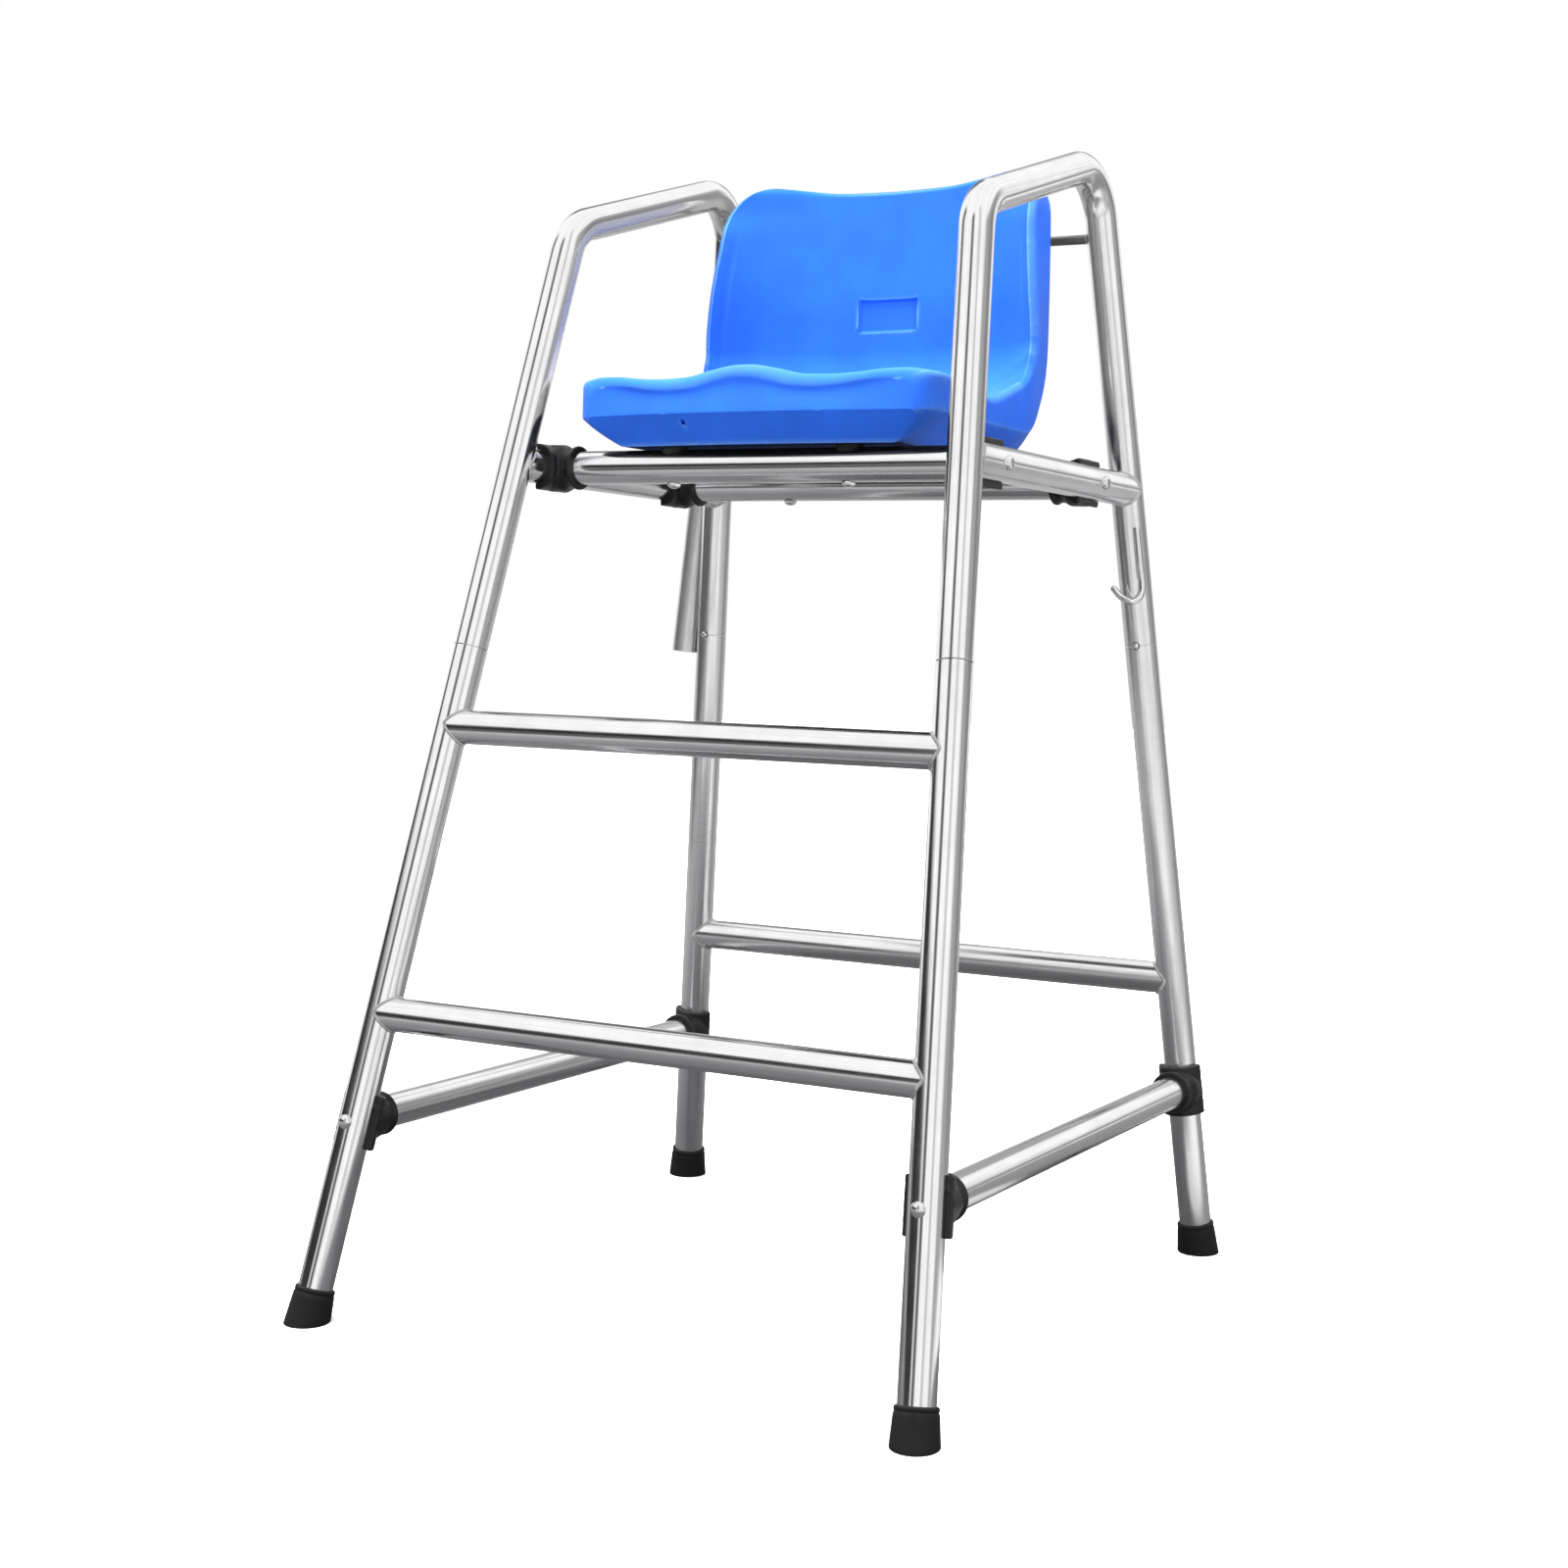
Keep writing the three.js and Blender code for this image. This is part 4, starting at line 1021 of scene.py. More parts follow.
def makeUmbrellaTube():
    side = -1
    plane = sidePlane(side)
    radius, bottom, lugRise = umbrellaTube["radius"], umbrellaTube["bottomRise"], umbrellaTube["lugRise"]
    tilt = umbrellaTube["tilt"] - stance["rearRake"]
    out = side * (frameTube["radius"] + radius + frameTube["fitGap"])
    crossing = legInPlane("rear", bottom + umbrellaTube["crossing"])
    low = Vector((out, crossing.y - umbrellaTube["crossing"] * math.tan(tilt), bottom))
    high = low + Vector((0, math.sin(tilt), math.cos(tilt))) * umbrellaTube["length"]
    points = withEndStations([plane @ low, plane @ high], umbrellaTube["rimLead"])

    def shape(outer, inner):
        for end in (0, -1):
            easeRim(outer, end, points[end], umbrellaTube["rimEase"])
            easeRim(inner, end, points[end], -umbrellaTube["rimEase"])

    bm = bmesh.new()
    angles = evenAngles(frameTube["columns"])
    walledTube(bm, points, outOf(side), angles, radius, umbrellaTube["wall"], shape)
    # flat lug from the leg to the tube
    leg = plane @ legInPlane("rear", lugRise)
    tubeBack = crossing.y + (lugRise - bottom - umbrellaTube["crossing"]) * math.tan(tilt)
    target = plane @ Vector((out, tubeBack, lugRise))
    place = aim(leg, target, plane.to_3x3() @ Vector((0, 1, 0)))
    halfThick, halfHigh = umbrellaTube["lugThickness"] / 2, umbrellaTube["lugHeight"] / 2
    section = [(-halfThick, -halfHigh), (halfThick, -halfHigh), (halfThick, halfHigh), (-halfThick, halfHigh)]
    legBite, tubeBite = umbrellaTube["lugBites"]
    span = (frameTube["radius"] - legBite, (target - leg).length - radius + tubeBite)
    cappedSkin(bm, [[place @ Vector((x, y, z)) for x, y in section] for z in span])
    addPiece("umbrella_tube", bm, ["satin"], "stainless_tube", "umbrella_holder")


bagHook = {
    "radius": 0.0038,
    "topRise": 0.884,
    "shank": 0.072,
    "bearing": math.radians(50),
    "drop": 0.014,
    "swing": 0.031,
    "comeBack": 0.029,
    "tipOffset": 0.017,
    "tipRise": 0.004,
    "curl": [(0.42, 0.8, 0.72), (0.16, 1, 1), (-0.25, 0.99, 0.5)],
    "columns": 28,
    "pointSteps": 12,
    # distance from each end and share of the radius there
    "endEase": [(0.0004, 0.6), (0.0014, 0.86)],
    "weld": {"turn": 0.145, "lift": 0.0009, "from": 0.012, "run": 0.05, "radius": 0.0011, "end": 0.0003,
             "ripple": 0.14, "steps": 90, "columns": 8},
}


# Smooth run through points, spaced by the root of their distances
def smoothRun(points, steps):
    first = points[0] * 2 - points[1]
    last = points[-1] * 2 - points[-2]
    chain = [first] + points + [last]
    run = []
    for index in range(1, len(chain) - 2):
        quad = chain[index - 1:index + 3]
        knots = [0.0]
        for before, after in zip(quad, quad[1:]):
            knots.append(knots[-1] + math.sqrt((after - before).length))
        for step in range(steps):
            t = knots[1] + (knots[2] - knots[1]) * step / steps
            level = list(quad)
            for depth in range(1, 4):
                level = [blendPair(level, knots, i, depth, t) for i in range(len(level) - 1)]
            run.append(level[0])
    run.append(points[-1].copy())
    return run


def blendPair(level, knots, index, depth, t):
    if depth == 1:
        low, high = knots[index], knots[index + 1]
    elif depth == 2:
        low, high = knots[index], knots[index + 2]
    else:
        low, high = knots[1], knots[2]
    return level[index].lerp(level[index + 1], (t - low) / (high - low))


def makeBagHook():
    side = 1
    shank, swing, drop, radius = (bagHook[key] for key in ("shank", "swing", "drop", "radius"))
    base = legPoint(side, "rear", bagHook["topRise"] - shank)
    along = legDirection(side, "rear")
    out = outOf(side)
    ahead = out.cross(along).normalized()
    if ahead.y > 0:
        ahead.negate()

    def spot(across, forward, height):
        return base + out * across + ahead * forward + along * height

    away = frameTube["radius"] + frameTube["fitGap"] + radius
    shankAt = (away * math.cos(bagHook["bearing"]), away * math.sin(bagHook["bearing"]))
    points = [spot(*shankAt, height) for height in (shank, shank / 2, 0)]
    points += [spot(swing * a, swing * f, -drop * d) for a, f, d in bagHook["curl"]]
    points.append(spot(-bagHook["tipOffset"], bagHook["comeBack"], bagHook["tipRise"]))
    run = smoothRun(points, bagHook["pointSteps"])
    lead = (run[1] - run[0]).normalized()
    tail = (run[-2] - run[-1]).normalized()
    (short, endShare), (long, nextShare) = bagHook["endEase"]
    run = ([run[0], run[0] + lead * short, run[0] + lead * long] + run[1:-1]
           + [run[-1] + tail * long, run[-1] + tail * short, run[-1]])
    radii = [radius] * len(run)
    for index, share in ((0, endShare), (1, nextShare), (-1, endShare), (-2, nextShare)):
        radii[index] = radius * share
    bm = bmesh.new()
    rings, runs = ringsAlong(run, radii, out, evenAngles(bagHook["columns"]))
    cappedSkin(bm, rings, runs, 2 * math.pi * radius)
    # weld runs on both sides of the shank
    bead = bagHook["weld"]
    steps = bead["steps"]
    for turn in (1, -1):
        angle = bagHook["bearing"] + turn * bead["turn"]
        seat = frameTube["radius"] + bead["lift"]
        line = [spot(seat * math.cos(angle), seat * math.sin(angle), bead["from"] + bead["run"] * i / steps)
                for i in range(steps + 1)]
        beads = [bead["radius"] * (1 + bead["ripple"] * math.cos(i * math.pi / 2)) for i in range(steps + 1)]
        beads[0] = beads[-1] = bead["end"]
        rings, _ = ringsAlong(line, beads, out, evenAngles(bead["columns"]))
        cappedSkin(bm, rings, material=1)
    addPiece("hook_wire", bm, ["steel", "weld"], "stainless_tube", "bag_hook")


makeUmbrellaTube()
makeBagHook()
print("umbrella tube and hook made")


# Seat

seat = {
    "halfWidth": 0.222,
    "frontReach": 0.188,
    "pivotBack": 0.085,
    "pivotRise": 0.165,
    "backTop": 0.353,
    "rearReach": 0.095,
    "rim": 0.008,
    "rimSteps": 8,
    "baseHalfWidth": 0.168,
    "creaseRise": 0.054,
    "lipRise": 0.085,
    "pommelRise": 0.021,
    "frontBow": 0.02,
    "frontCorner": 0.03,
    "topCorner": 0.042,
    "apronRun": 0.03,
    "backCornerRise": 0.0105,
    "spacer": 0.0024,
    # along the shell: 0 is the pan's front edge, 1 to 2 the bend up into the back, 3 the back's top edge
    "widthShares": [(0, 1.02), (0.4, 1), (1, 0.987), (1.5, 0.993), (2, 0.993), (2.3, 0.974),
                    (2.7, 0.936), (3, 0.918)],
    "outerWidthShares": [(0, 1.02), (0.4, 1), (1, 0.98), (1.5, 0.935), (2, 0.937), (2.7, 0.928),
                         (3, 0.91)],
    "rimDepthShares": [(0, 0.485), (0.15, 0.49), (0.6, 0.505), (0.85, 0.41), (1, 0.32), (1.25, 0.215),
                       (1.5, 0.145), (2, 0.11), (2.25, 0.1), (2.7, 0.16), (2.87, 0.25), (2.96, 0.32),
                       (3, 0.4)],
    "dishDepthShares": [(0, 0.46), (0.25, 0.49), (0.7, 0.525), (1, 0.51), (1.5, 0.49), (2, 0.475),
                        (2.25, 0.47), (2.7, 0.5), (3, 0.525)],
    # across the shell: 0 is its middle, 1 its side
    "lipWaveShares": [(0, 0.97), (0.05, 0.96), (0.17, 0.78), (0.36, 0.42), (0.5, 0.38), (0.64, 0.45),
                      (0.78, 0.6), (0.9, 0.64), (1, 0.5)],
    "topWaveShares": [(0, 0), (0.3, 0.14), (0.72, 1), (1, 0.6)],
    "lipWave": {"from": 0.1, "to": 0.72},
    "wingPower": 3.4,
    "outerPower": 4,
    "rearCreaseShare": 0.86,
    "rearChamfer": {"share": 0.06, "to": 1.75},
    # shallow channel just inside the rim of the wings
    "channel": {"share": 0.952, "half": 0.013, "depth": 0.0017, "from": 1.3, "fadeIn": 0.5, "to": 2.85,
                "fadeOut": 0.35},
    "wallShares": (0.2, 0.4, 0.6, 0.8),
    "flank": {"shares": (0, 0.16, 0.33, 0.5, 0.66, 0.83, 1), "bulge": 0.32, "topRound": 0.0022,
              "footRound": 0.004, "inwardShare": 0.8, "roundSteps": 4},
    "lipRound": 0.012,
    "lipHollow": 0.002,
    "topRound": 0.004,
    "topHollow": 0.0006,
    # rows of points near a free edge by distance, then counts for the pan, the bend and the back
    "edgeRows": [0, 0.0002, 0.0007, 0.0015, 0.0026, 0.004, 0.0056, 0.008, 0.011, 0.015, 0.019, 0.023,
                 0.0265, 0.03, 0.034],
    "rows": {"pan": 30, "bend": 34, "back": 18},
    "badge": {"before": 0.02, "width": 0.079, "height": 0.04, "depth": 0.004, "rise": 0.204, "draft": 0.0034},
    "vent": {"radius": 0.0029, "offset": 0.075, "rise": 0.045, "before": 0.03, "depth": 0.02},
}


# Smooth curve through pairs that never overshoots them
def shareAt(pairs, at):
    at = min(max(at, pairs[0][0]), pairs[-1][0])
    slopes = [(b[1] - a[1]) / (b[0] - a[0]) for a, b in zip(pairs, pairs[1:])]
    index = 0
    while index < len(slopes) - 1 and at > pairs[index + 1][0]:
        index += 1

    def tangent(knot):
        if knot == 0 or knot == len(pairs) - 1:
            return slopes[0] if knot == 0 else slopes[-1]
        before, after = slopes[knot - 1], slopes[knot]
        return 0.0 if before * after <= 0 else 2 * before * after / (before + after)

    (x0, y0), (x1, y1) = pairs[index], pairs[index + 1]
    h = x1 - x0
    t = (at - x0) / h
    return ((2 * t ** 3 - 3 * t ** 2 + 1) * y0 + (t ** 3 - 2 * t ** 2 + t) * h * tangent(index)
            + (3 * t ** 2 - 2 * t ** 3) * y1 + (t ** 3 - t ** 2) * h * tangent(index + 1))


def softStep(low, high, value):
    t = min(max((value - low) / (high - low), 0), 1)
    return t * t * (3 - 2 * t)


def mix(first, second, share):
    return first + (second - first) * share


def roundIn(distance, radius):
    share = min(max(1 - distance / radius, 0), 1)
    return radius * (1 - math.sqrt(1 - share * share))


# How much of a side a rounded corner may take
cornerShare = 0.45


# Rounds the inner corners of a flat run of points, always with the same count
def easeCorners(points, radius, steps):
    eased = [points[0]]
    for before, corner, after in zip(points, points[1:], points[2:]):
        back, ahead = Vector(before) - Vector(corner), Vector(after) - Vector(corner)
        reach = min(radius, back.length * cornerShare, ahead.length * cornerShare)
        start = Vector(corner) + back.normalized() * reach
        end = Vector(corner) + ahead.normalized() * reach
        for step in range(steps + 1):
            t = step / steps
            eased.append(tuple(start.lerp(Vector(corner), t).lerp(Vector(corner).lerp(end, t), t)))
    eased.append(points[-1])
    return eased


# Closer together towards the edge, without a jump
crownSteps, crownCrowding = 62, 1.6
crownShares = [1 - (1 - index / crownSteps) ** crownCrowding for index in range(crownSteps + 1)]


# Depths of one station's underside and of the crease above it
def stationDepths(v, apron, edge):
    bend = min(max(v - 1, 0), 1) * math.pi / 2
    baseDepth = seat["pivotRise"] - frameTube["radius"] - seat["spacer"] - frameTube["fitGap"]
    power = seat["outerPower"]
    outer = (abs(math.cos(bend) / baseDepth) ** power
             + abs(math.sin(bend) / seat["rearReach"]) ** power) ** (-1 / power)
    frontCrease = seat["pivotRise"] - seat["creaseRise"]
    rearCrease = seat["rearReach"] * seat["rearCreaseShare"]
    creaseDepth = mix(frontCrease, rearCrease, softStep(1, 2, v))
    outerDepth = mix(creaseDepth, outer, apron) if v < 1 else outer - edge
    return outerDepth, creaseDepth


# Half of the sitter's side from the middle out, with the lip's wave and the wings' channel
def crownRun(v, width, edge):
    rim, channel, lipWave = seat["rim"], seat["channel"], seat["lipWave"]
    rimRise = seat["pivotRise"] * shareAt(seat["rimDepthShares"], v)
    dish = seat["pivotRise"] * shareAt(seat["dishDepthShares"], v)
    waveBlend = 1 - softStep(lipWave["from"], lipWave["to"], v)
    lip = seat["pivotRise"] - seat["lipRise"]
    fade = softStep(channel["from"], channel["from"] + channel["fadeIn"], v)
    fade *= softStep(channel["to"], channel["to"] - channel["fadeOut"], v)
    crown = []
    for share in crownShares:
        shell = dish - (dish - rimRise) * share ** seat["wingPower"]
        wave = lip - seat["pommelRise"] * shareAt(seat["lipWaveShares"], share)
        cut = channel["depth"] * fade * math.exp(-((share - channel["share"]) / channel["half"]) ** 2)
        crown.append((share * (width - rim), mix(shell, wave, waveBlend) + edge + cut))
    return crown


# Half outline of one station: the sitter's side from the middle out, the edge, and the underside
def stationOutline(v):
    fromFront = min(v, 1) * (seat["frontReach"] + seat["pivotBack"])
    fromTop = (3 - max(v, 2)) * (seat["backTop"] - seat["pivotRise"])
    cornerIn = edge = 0
    if v < 1:
        cornerIn, edge = roundIn(fromFront, seat["frontCorner"]), roundIn(fromFront, seat["lipRound"])
    elif v > 2:
        cornerIn, edge = roundIn(fromTop, seat["topCorner"]), roundIn(fromTop, seat["topRound"])
    rim, rimSteps = seat["rim"], seat["rimSteps"]
    flankShape, rearChamfer = seat["flank"], seat["rearChamfer"]
    width = seat["halfWidth"] * shareAt(seat["widthShares"], v) - cornerIn
    lowWidth = seat["halfWidth"] * shareAt(seat["outerWidthShares"], v) - cornerIn
    apron = min(fromFront / seat["apronRun"], 1)
    outerDepth, creaseDepth = stationDepths(v, apron, edge)
    chamfer = mix(seat["halfWidth"] - seat["baseHalfWidth"], seat["halfWidth"] * rearChamfer["share"],
                  softStep(1, rearChamfer["to"], v))
    lowCorner = lowWidth - chamfer * (apron if v < 1 else 1)
    crown = crownRun(v, width, edge)
    rimDepth = crown[-1][1]
    rimRound = [(width - rim + rim * math.sin(angle), rimDepth + rim - rim * math.cos(angle))
                for angle in [math.pi / 2 * index / rimSteps for index in range(1, rimSteps + 1)]]
    crease = min(creaseDepth, outerDepth - edge if v < 1 else outerDepth)
    flank = [(mix(lowWidth, lowCorner, t), mix(crease, outerDepth, t + flankShape["bulge"] * t * (1 - t)))
             for t in flankShape["shares"]]
    steps = flankShape["roundSteps"]
    low = easeCorners([rimRound[-1], flank[0], flank[1]], flankShape["topRound"], steps)[1:-1]
    inward = (flank[-1][0] * flankShape["inwardShare"], outerDepth)
    foot = easeCorners([flank[-2], flank[-1], inward], flankShape["footRound"], steps)[1:-1]
    wall = [(mix(rimRound[-1][0], low[0][0], t), mix(rimRound[-1][1], low[0][1], t))
            for t in seat["wallShares"]]
    edgeRun = rimRound + wall + low + flank[1:-1] + foot[:-1]
    base = [(share * foot[-1][0], outerDepth) for share in crownShares]
    return crown, edgeRun, base


def shellPoint(v, x, depth):
    pan = min(v, 1)
    rise = max(v - 2, 0)
    bend = min(max(v - 1, 0), 1) * math.pi / 2
    share = x / seat["halfWidth"]
    bow = seat["frontBow"] * share ** 2 * (1 - pan) ** 2
    corner = seat["backCornerRise"] * shareAt(seat["topWaveShares"], abs(share)) * rise ** 2
    panLength = seat["frontReach"] + seat["pivotBack"]
    y = seat["pivotBack"] - (1 - pan) * panLength + bow + depth * math.sin(bend)
    z = seat["pivotRise"] + rise * (seat["backTop"] - seat["pivotRise"]) + corner - depth * math.cos(bend)
    return Vector((x, y, z))


def seatStations():
    panLength = seat["frontReach"] + seat["pivotBack"]
    backLength = seat["backTop"] - seat["pivotRise"]
    near, rows = seat["edgeRows"], seat["rows"]
    stations = [spot / panLength for spot in near]
    start, last = near[-1] / panLength, 3 - near[-1] / backLength
    stations += [mix(start, 1, index / rows["pan"]) for index in range(1, rows["pan"] + 1)]
    stations += [1 + index / rows["bend"] for index in range(1, rows["bend"] + 1)]
    stations += [mix(2, last, index / rows["back"]) for index in range(1, rows["back"])]
    stations += [3 - spot / backLength for spot in reversed(near)]
    return stations


def mirrored(points):
    return [(-x, depth) for x, depth in points]


# Where the cap of a free edge fades: the hollow from the edges, the sides' bulge towards the middle
capFade = {"level": 0.27, "hollowFrom": 0.01, "hollowTo": 0.15, "bulgeTo": 0.26}


# Grid of faces over an open end, spanned between the crown, the base and the two edges
def closeEnd(bm, row, crownCount, edgeCount, hollow):
    crown = row[:crownCount]
    right = row[crownCount:crownCount + edgeCount]
    base = row[crownCount + edgeCount:2 * crownCount + edgeCount][::-1]
    left = row[2 * crownCount + edgeCount:][::-1]
    corners = (crown[0].co, crown[-1].co, base[0].co, base[-1].co)
    middleOut = capFade["level"]
    grid = [crown]
    for level in range(edgeCount):
        drop = (right[level].co - crown[-1].co).length / (base[-1].co - crown[-1].co).length
        drop = min(drop, 1)
        line = [left[level]]
        for column in range(1, crownCount - 1):
            across = (crown[column].co.x - corners[0].x) / (corners[1].x - corners[0].x)
            aside = min(across, 1 - across)
            bulge = left[level].co.lerp(right[level].co, across)
            bulge -= corners[0].lerp(corners[1], across).lerp(corners[2].lerp(corners[3], across), drop)
            dent = softStep(0, middleOut, drop) * softStep(1, middleOut, drop)
            dent *= softStep(capFade["hollowFrom"], capFade["hollowTo"], aside)
            flat = crown[column].co.lerp(base[column].co, drop)
            line.append(bm.verts.new(flat + bulge * softStep(capFade["bulgeTo"], 0, aside) + hollow * dent))
        line.append(right[level])
        grid.append(line)
    grid.append(base)
    for upper, lower in zip(grid, grid[1:]):
        for column in range(crownCount - 1):
            bm.faces.new((upper[column], upper[column + 1], lower[column + 1], lower[column]))


# Block with drafted sides, wide at the face it is pressed into
def badgeCutter(place):
    badge = seat["badge"]
    v = 2 + (badge["rise"] - seat["pivotRise"]) / (seat["backTop"] - seat["pivotRise"])
    face = seat["pivotBack"] + seat["pivotRise"] * shareAt(seat["dishDepthShares"], v)
    bm = bmesh.new()
    rings = []
    for reach, grow in ((-badge["before"], 0), (0, 0), (badge["depth"], -badge["draft"])):
        wide, high = badge["width"] / 2 + grow, badge["height"] / 2 + grow
        rings.append([place @ Vector((x, face + reach, badge["rise"] + z))
                      for x, z in ((-wide, -high), (wide, -high), (wide, high), (-wide, high))])
    cappedSkin(bm, rings)
    return addObject("badgeCutter", bm, [finishes["shell"]])


def makeSeat():
    place = seatPlace()
    bm = bmesh.new()
    rings = []
    for v in seatStations():
        crown, edgeRun, base = stationOutline(v)
        top = mirrored(crown[:0:-1]) + crown
        bottom = base[::-1] + mirrored(base[1:])
        loop = top + edgeRun + bottom + mirrored(edgeRun[::-1])
        rings.append([place @ shellPoint(v, x, depth) for x, depth in loop])
    rows = skin(bm, rings)
    closeEnd(bm, rows[0], len(top), len(edgeRun), Vector((0, seat["lipHollow"], 0)))
    closeEnd(bm, rows[-1], len(top), len(edgeRun), Vector((0, 0, seat["topHollow"])))
    piece = addObject("moulded_seat", bm, [finishes["shell"]], 50)
    vent = seat["vent"]
    ventPlace = place @ Vector((-vent["offset"], -seat["frontReach"], vent["rise"]))
    inwards = place.to_3x3() @ Vector((0, 1, 0))
    cutAway(piece, [badgeCutter(place),
                    roundBar(ventPlace, inwards, vent["radius"], -vent["before"], vent["depth"], 24)])
    dress(piece, "frame", "blue_shell", "seat_shell")


makeSeat()
print("seat made")


# CAD nodes that stay get their finish

keptFinishes = {"leg_spigot": "bolt", "seat_spacer": "rubber", "seat_bolt": "bolt"}
keptSharpAngle = math.radians(30)
for name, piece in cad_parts.items():
    for start, finish in keptFinishes.items():
        if name.startswith(start):
            piece.data.materials.clear()
            piece.data.materials.append(finishes[finish])
            piece.data.shade_smooth()
            piece.data.set_sharp_from_angle(angle=keptSharpAngle)


# Studio

studio = {
    "floorSeen": [(0.93, 0.93, 0.93, 1), (0.95, 0.95, 0.95, 1)],
    "floorGlow": 0.3,
    "floorRings": (0.5, 2, 5, 12),
    "floorColumns": 64,
    # how the steel and bounced light see the floor: darker near the chair as a painted shadow of the chair,
    # with the distances of both ends
    "floorNear": (0.065, 0.065, 0.067, 1),
    "floorFar": (0.17, 0.17, 0.172, 1),
    "floorFade": (0.5, 2.3),
    "white": 1.12,
    "whiteOnMatt": 0.5,
    "ground": 0.5,
    # gaps and grey screens in the white tent: bearings are degrees round the chair, 0 in front of it and
    # 90 on the sitter's left; half is half the width, soft its edge's width, low and high its heights
    "screens": [
        {"bearing": -80, "half": 7, "soft": 6, "low": -3, "high": 38, "level": 0.16},
        {"bearing": -3, "half": 5, "soft": 8, "low": -3, "high": 48, "level": 0.1},
        {"bearing": 49, "half": 2, "soft": 9, "low": -3, "high": 60, "level": 0.62},
        {"bearing": 122, "half": 26, "soft": 12, "low": -3, "high": 30, "level": 0.42},
        {"bearing": 135, "half": 8, "soft": 12, "low": -3, "high": 22, "level": 0.28},
        {"bearing": -140, "half": 8, "soft": 6, "low": 20, "high": 44, "level": 0.16},
        {"bearing": -162, "half": 12, "soft": 8, "low": 4, "high": 28, "level": 0.42},
        {"bearing": -52, "half": 28, "soft": 10, "low": -2, "high": 13, "level": 0.03},
        {"bearing": 168, "half": 16, "soft": 8, "low": 3, "high": 5, "level": 0.3},
    ],
    # the same on the floor, with distances from the chair's middle in metres and their inner edge's width
    "mats": [
        {"bearing": 33, "half": 32, "soft": 18, "low": 1.8, "high": 20, "level": 0.3, "edge": 0.6},
        {"bearing": 103, "half": 14, "soft": 6, "low": 0.42, "high": 1.4, "level": 0.34, "edge": 0.12},
        {"bearing": 135, "half": 14, "soft": 8, "low": 0.7, "high": 20, "level": 0.1, "edge": 0.2},
        {"bearing": -50, "half": 30, "soft": 12, "low": 3.2, "high": 20, "level": 0.03, "edge": 0.9},
    ],
    "sun": {"towards": (0.12, 0.14, -1.0), "strength": 8, "softness": math.radians(40)},
    "boxes": [
        {"name": "keyBox", "place": (-1.6, -2.8, 3.0), "target": (0, 0, 0.8), "width": 2.4, "power": 75},
        {"name": "sideBox", "place": (3.2, -1.2, 1.5), "target": (0, 0, 0.9), "width": 1.6, "power": 48},
    ],
}


def grey(level):
    return (level, level, level, 1)


# Dims a light surface over a range of bearings and of heights or distances
def addScreen(tree, bearing, reach, around, screen, softLow, softHigh):
    turned = mathNode(tree, "SUBTRACT", bearing, float(screen["bearing"]))
    turned = node(tree, "ShaderNodeMath", {0: turned, 1: 180.0, 2: -180.0}, operation="WRAP").outputs[0]
    aside = mathNode(tree, "ABSOLUTE", turned)
    mask = rangeNode(tree, aside, screen["half"] + screen["soft"], screen["half"])
    for limit, soft in ((screen["low"], -softLow), (screen["high"], softHigh)):
        mask = mathNode(tree, "MULTIPLY", mask, rangeNode(tree, reach, limit + soft, limit))
    return mixColours(tree, mask, around, grey(screen["level"]))


def bearingOf(tree, vector):
    parts = partsOf(tree, vector)
    turned = mathNode(tree, "ARCTAN2", parts[0], mathNode(tree, "MULTIPLY", parts[1], -1.0))
    return mathNode(tree, "MULTIPLY", turned, 180 / math.pi), parts[2]


def makeFloor():
    material, tree, shader = newMaterial("paleFloor", Roughness=0.9, Specular_IOR_Level=0.1)
    cloud = groupNode(tree, "grain", Grain_Scale=60, Wave_Scale=2)
    seen = mixColours(tree, cloud["Wave"], *studio["floorSeen"])
    place = objectPlace(tree)
    away = node(tree, "ShaderNodeVectorMath", {0: place}, operation="LENGTH").outputs["Value"]
    # painted shadow: the floor is darker near the chair in what the steel mirrors and in the light it bounces
    far = rangeNode(tree, away, *studio["floorFade"])
    bounced = mixColours(tree, far, studio["floorNear"], studio["floorFar"])
    bearing, _ = bearingOf(tree, place)
    for mat in studio["mats"]:
        bounced = addScreen(tree, bearing, away, bounced, mat, mat["edge"], 1.0)
    path = node(tree, "ShaderNodeLightPath")
    shade = mixColours(tree, path.outputs["Is Camera Ray"], bounced, seen)
    tree.links.new(shade, shader.inputs["Base Color"])
    setSockets(shader, {"Emission_Color": (1, 1, 1, 1)})
    glow = mathNode(tree, "MULTIPLY", path.outputs["Is Camera Ray"], studio["floorGlow"])
    tree.links.new(glow, shader.inputs["Emission Strength"])
    bm = bmesh.new()
    angles = evenAngles(studio["floorColumns"])
    rows = skin(bm, [turnedRing(Matrix(), radius, 0, angles) for radius in studio["floorRings"]])
    capRing(bm, rows[0])
    floor = addObject("floor", bm, [material])
    floor.data.flip_normals()


def addLight(name, kind, power, towards):
    data = bpy.data.lights.new(name, kind)
    data.energy = power
    light = bpy.data.objects.new(name, data)
    scene.collection.objects.link(light)
    light.rotation_euler = towards.to_track_quat("-Z", "Y").to_euler()
    light.visible_glossy = False
    return light


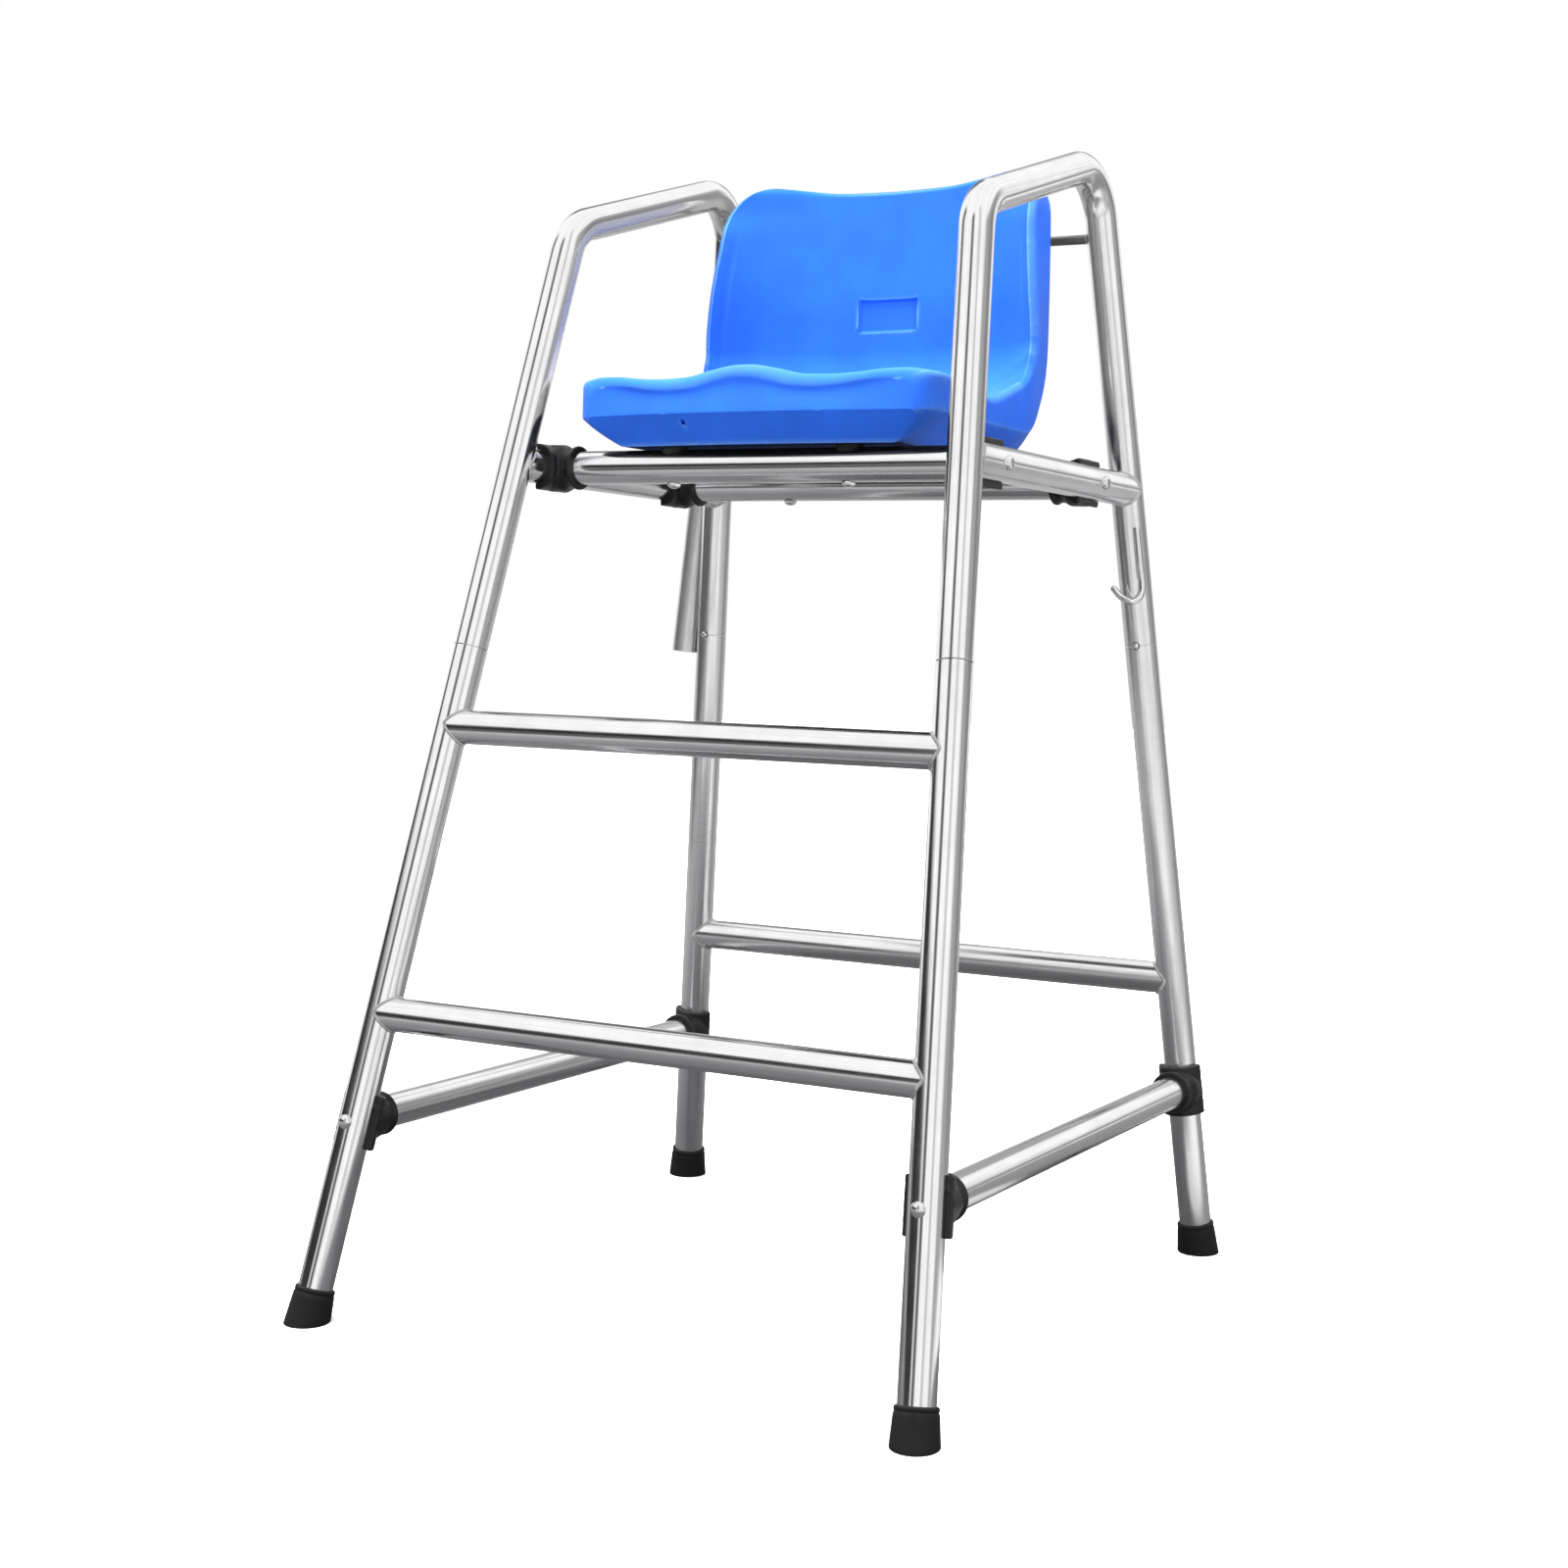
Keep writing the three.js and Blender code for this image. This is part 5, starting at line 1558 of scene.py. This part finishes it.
def makeLights():
    sun = studio["sun"]
    addLight("softSun", "SUN", sun["strength"], Vector(sun["towards"])).data.angle = sun["softness"]
    for box in studio["boxes"]:
        light = addLight(box["name"], "AREA", box["power"], Vector(box["target"]) - Vector(box["place"]))
        light.location = box["place"]
        light.data.shape = "RECTANGLE"
        light.data.size = light.data.size_y = box["width"]


# White tent over the chair, with the dark gaps and grey screens that polished tube mirrors
def makeWorld():
    world = bpy.data.worlds.new("studio")
    world.use_nodes = True
    tree = world.node_tree
    place = node(tree, "ShaderNodeTexCoord")
    bearing, up = bearingOf(tree, place.outputs["Generated"])
    elevation = mathNode(tree, "MULTIPLY", mathNode(tree, "ARCSINE", up), 180 / math.pi)
    below = rangeNode(tree, elevation, fromLow=-1.0, fromHigh=-2.5)
    around = mixColours(tree, below, grey(studio["white"]), grey(studio["ground"]))
    for screen in studio["screens"]:
        around = addScreen(tree, bearing, elevation, around, screen, 2, 5)
    path = node(tree, "ShaderNodeLightPath")
    around = mixColours(tree, path.outputs["Is Diffuse Ray"], around, grey(studio["whiteOnMatt"]))
    seen = mixColours(tree, path.outputs["Is Camera Ray"], around, (1, 1, 1, 1))
    tree.links.new(seen, tree.nodes["Background"].inputs["Color"])
    scene.world = world


photoView = {"azimuth": 28.958, "pitch": 4.611, "roll": 0.915, "lens": 55.26, "film": 36,
             "place": (1.31535, -2.38537, 0.7997)}


def makeCamera():
    azimuth, pitch, roll = (math.radians(photoView[key]) for key in ("azimuth", "pitch", "roll"))
    ahead = Vector((-math.sin(azimuth) * math.cos(pitch), math.cos(azimuth) * math.cos(pitch),
                    -math.sin(pitch)))
    right = Vector((math.cos(azimuth), math.sin(azimuth), 0))
    above = right.cross(ahead)
    rightRolled = math.cos(roll) * right + math.sin(roll) * above
    aboveRolled = -math.sin(roll) * right + math.cos(roll) * above
    data = bpy.data.cameras.new("photoView")
    data.sensor_fit = "HORIZONTAL"
    data.sensor_width = photoView["film"]
    data.lens = photoView["lens"]
    camera = bpy.data.objects.new("photoView", data)
    scene.collection.objects.link(camera)
    turn = Matrix((rightRolled, aboveRolled, -ahead)).transposed().to_4x4()
    turn.translation = photoView["place"]
    camera.matrix_world = turn
    scene.camera = camera


makeFloor()
makeWorld()
makeLights()
makeCamera()
scene.view_settings.view_transform = "Standard"
print("studio made")
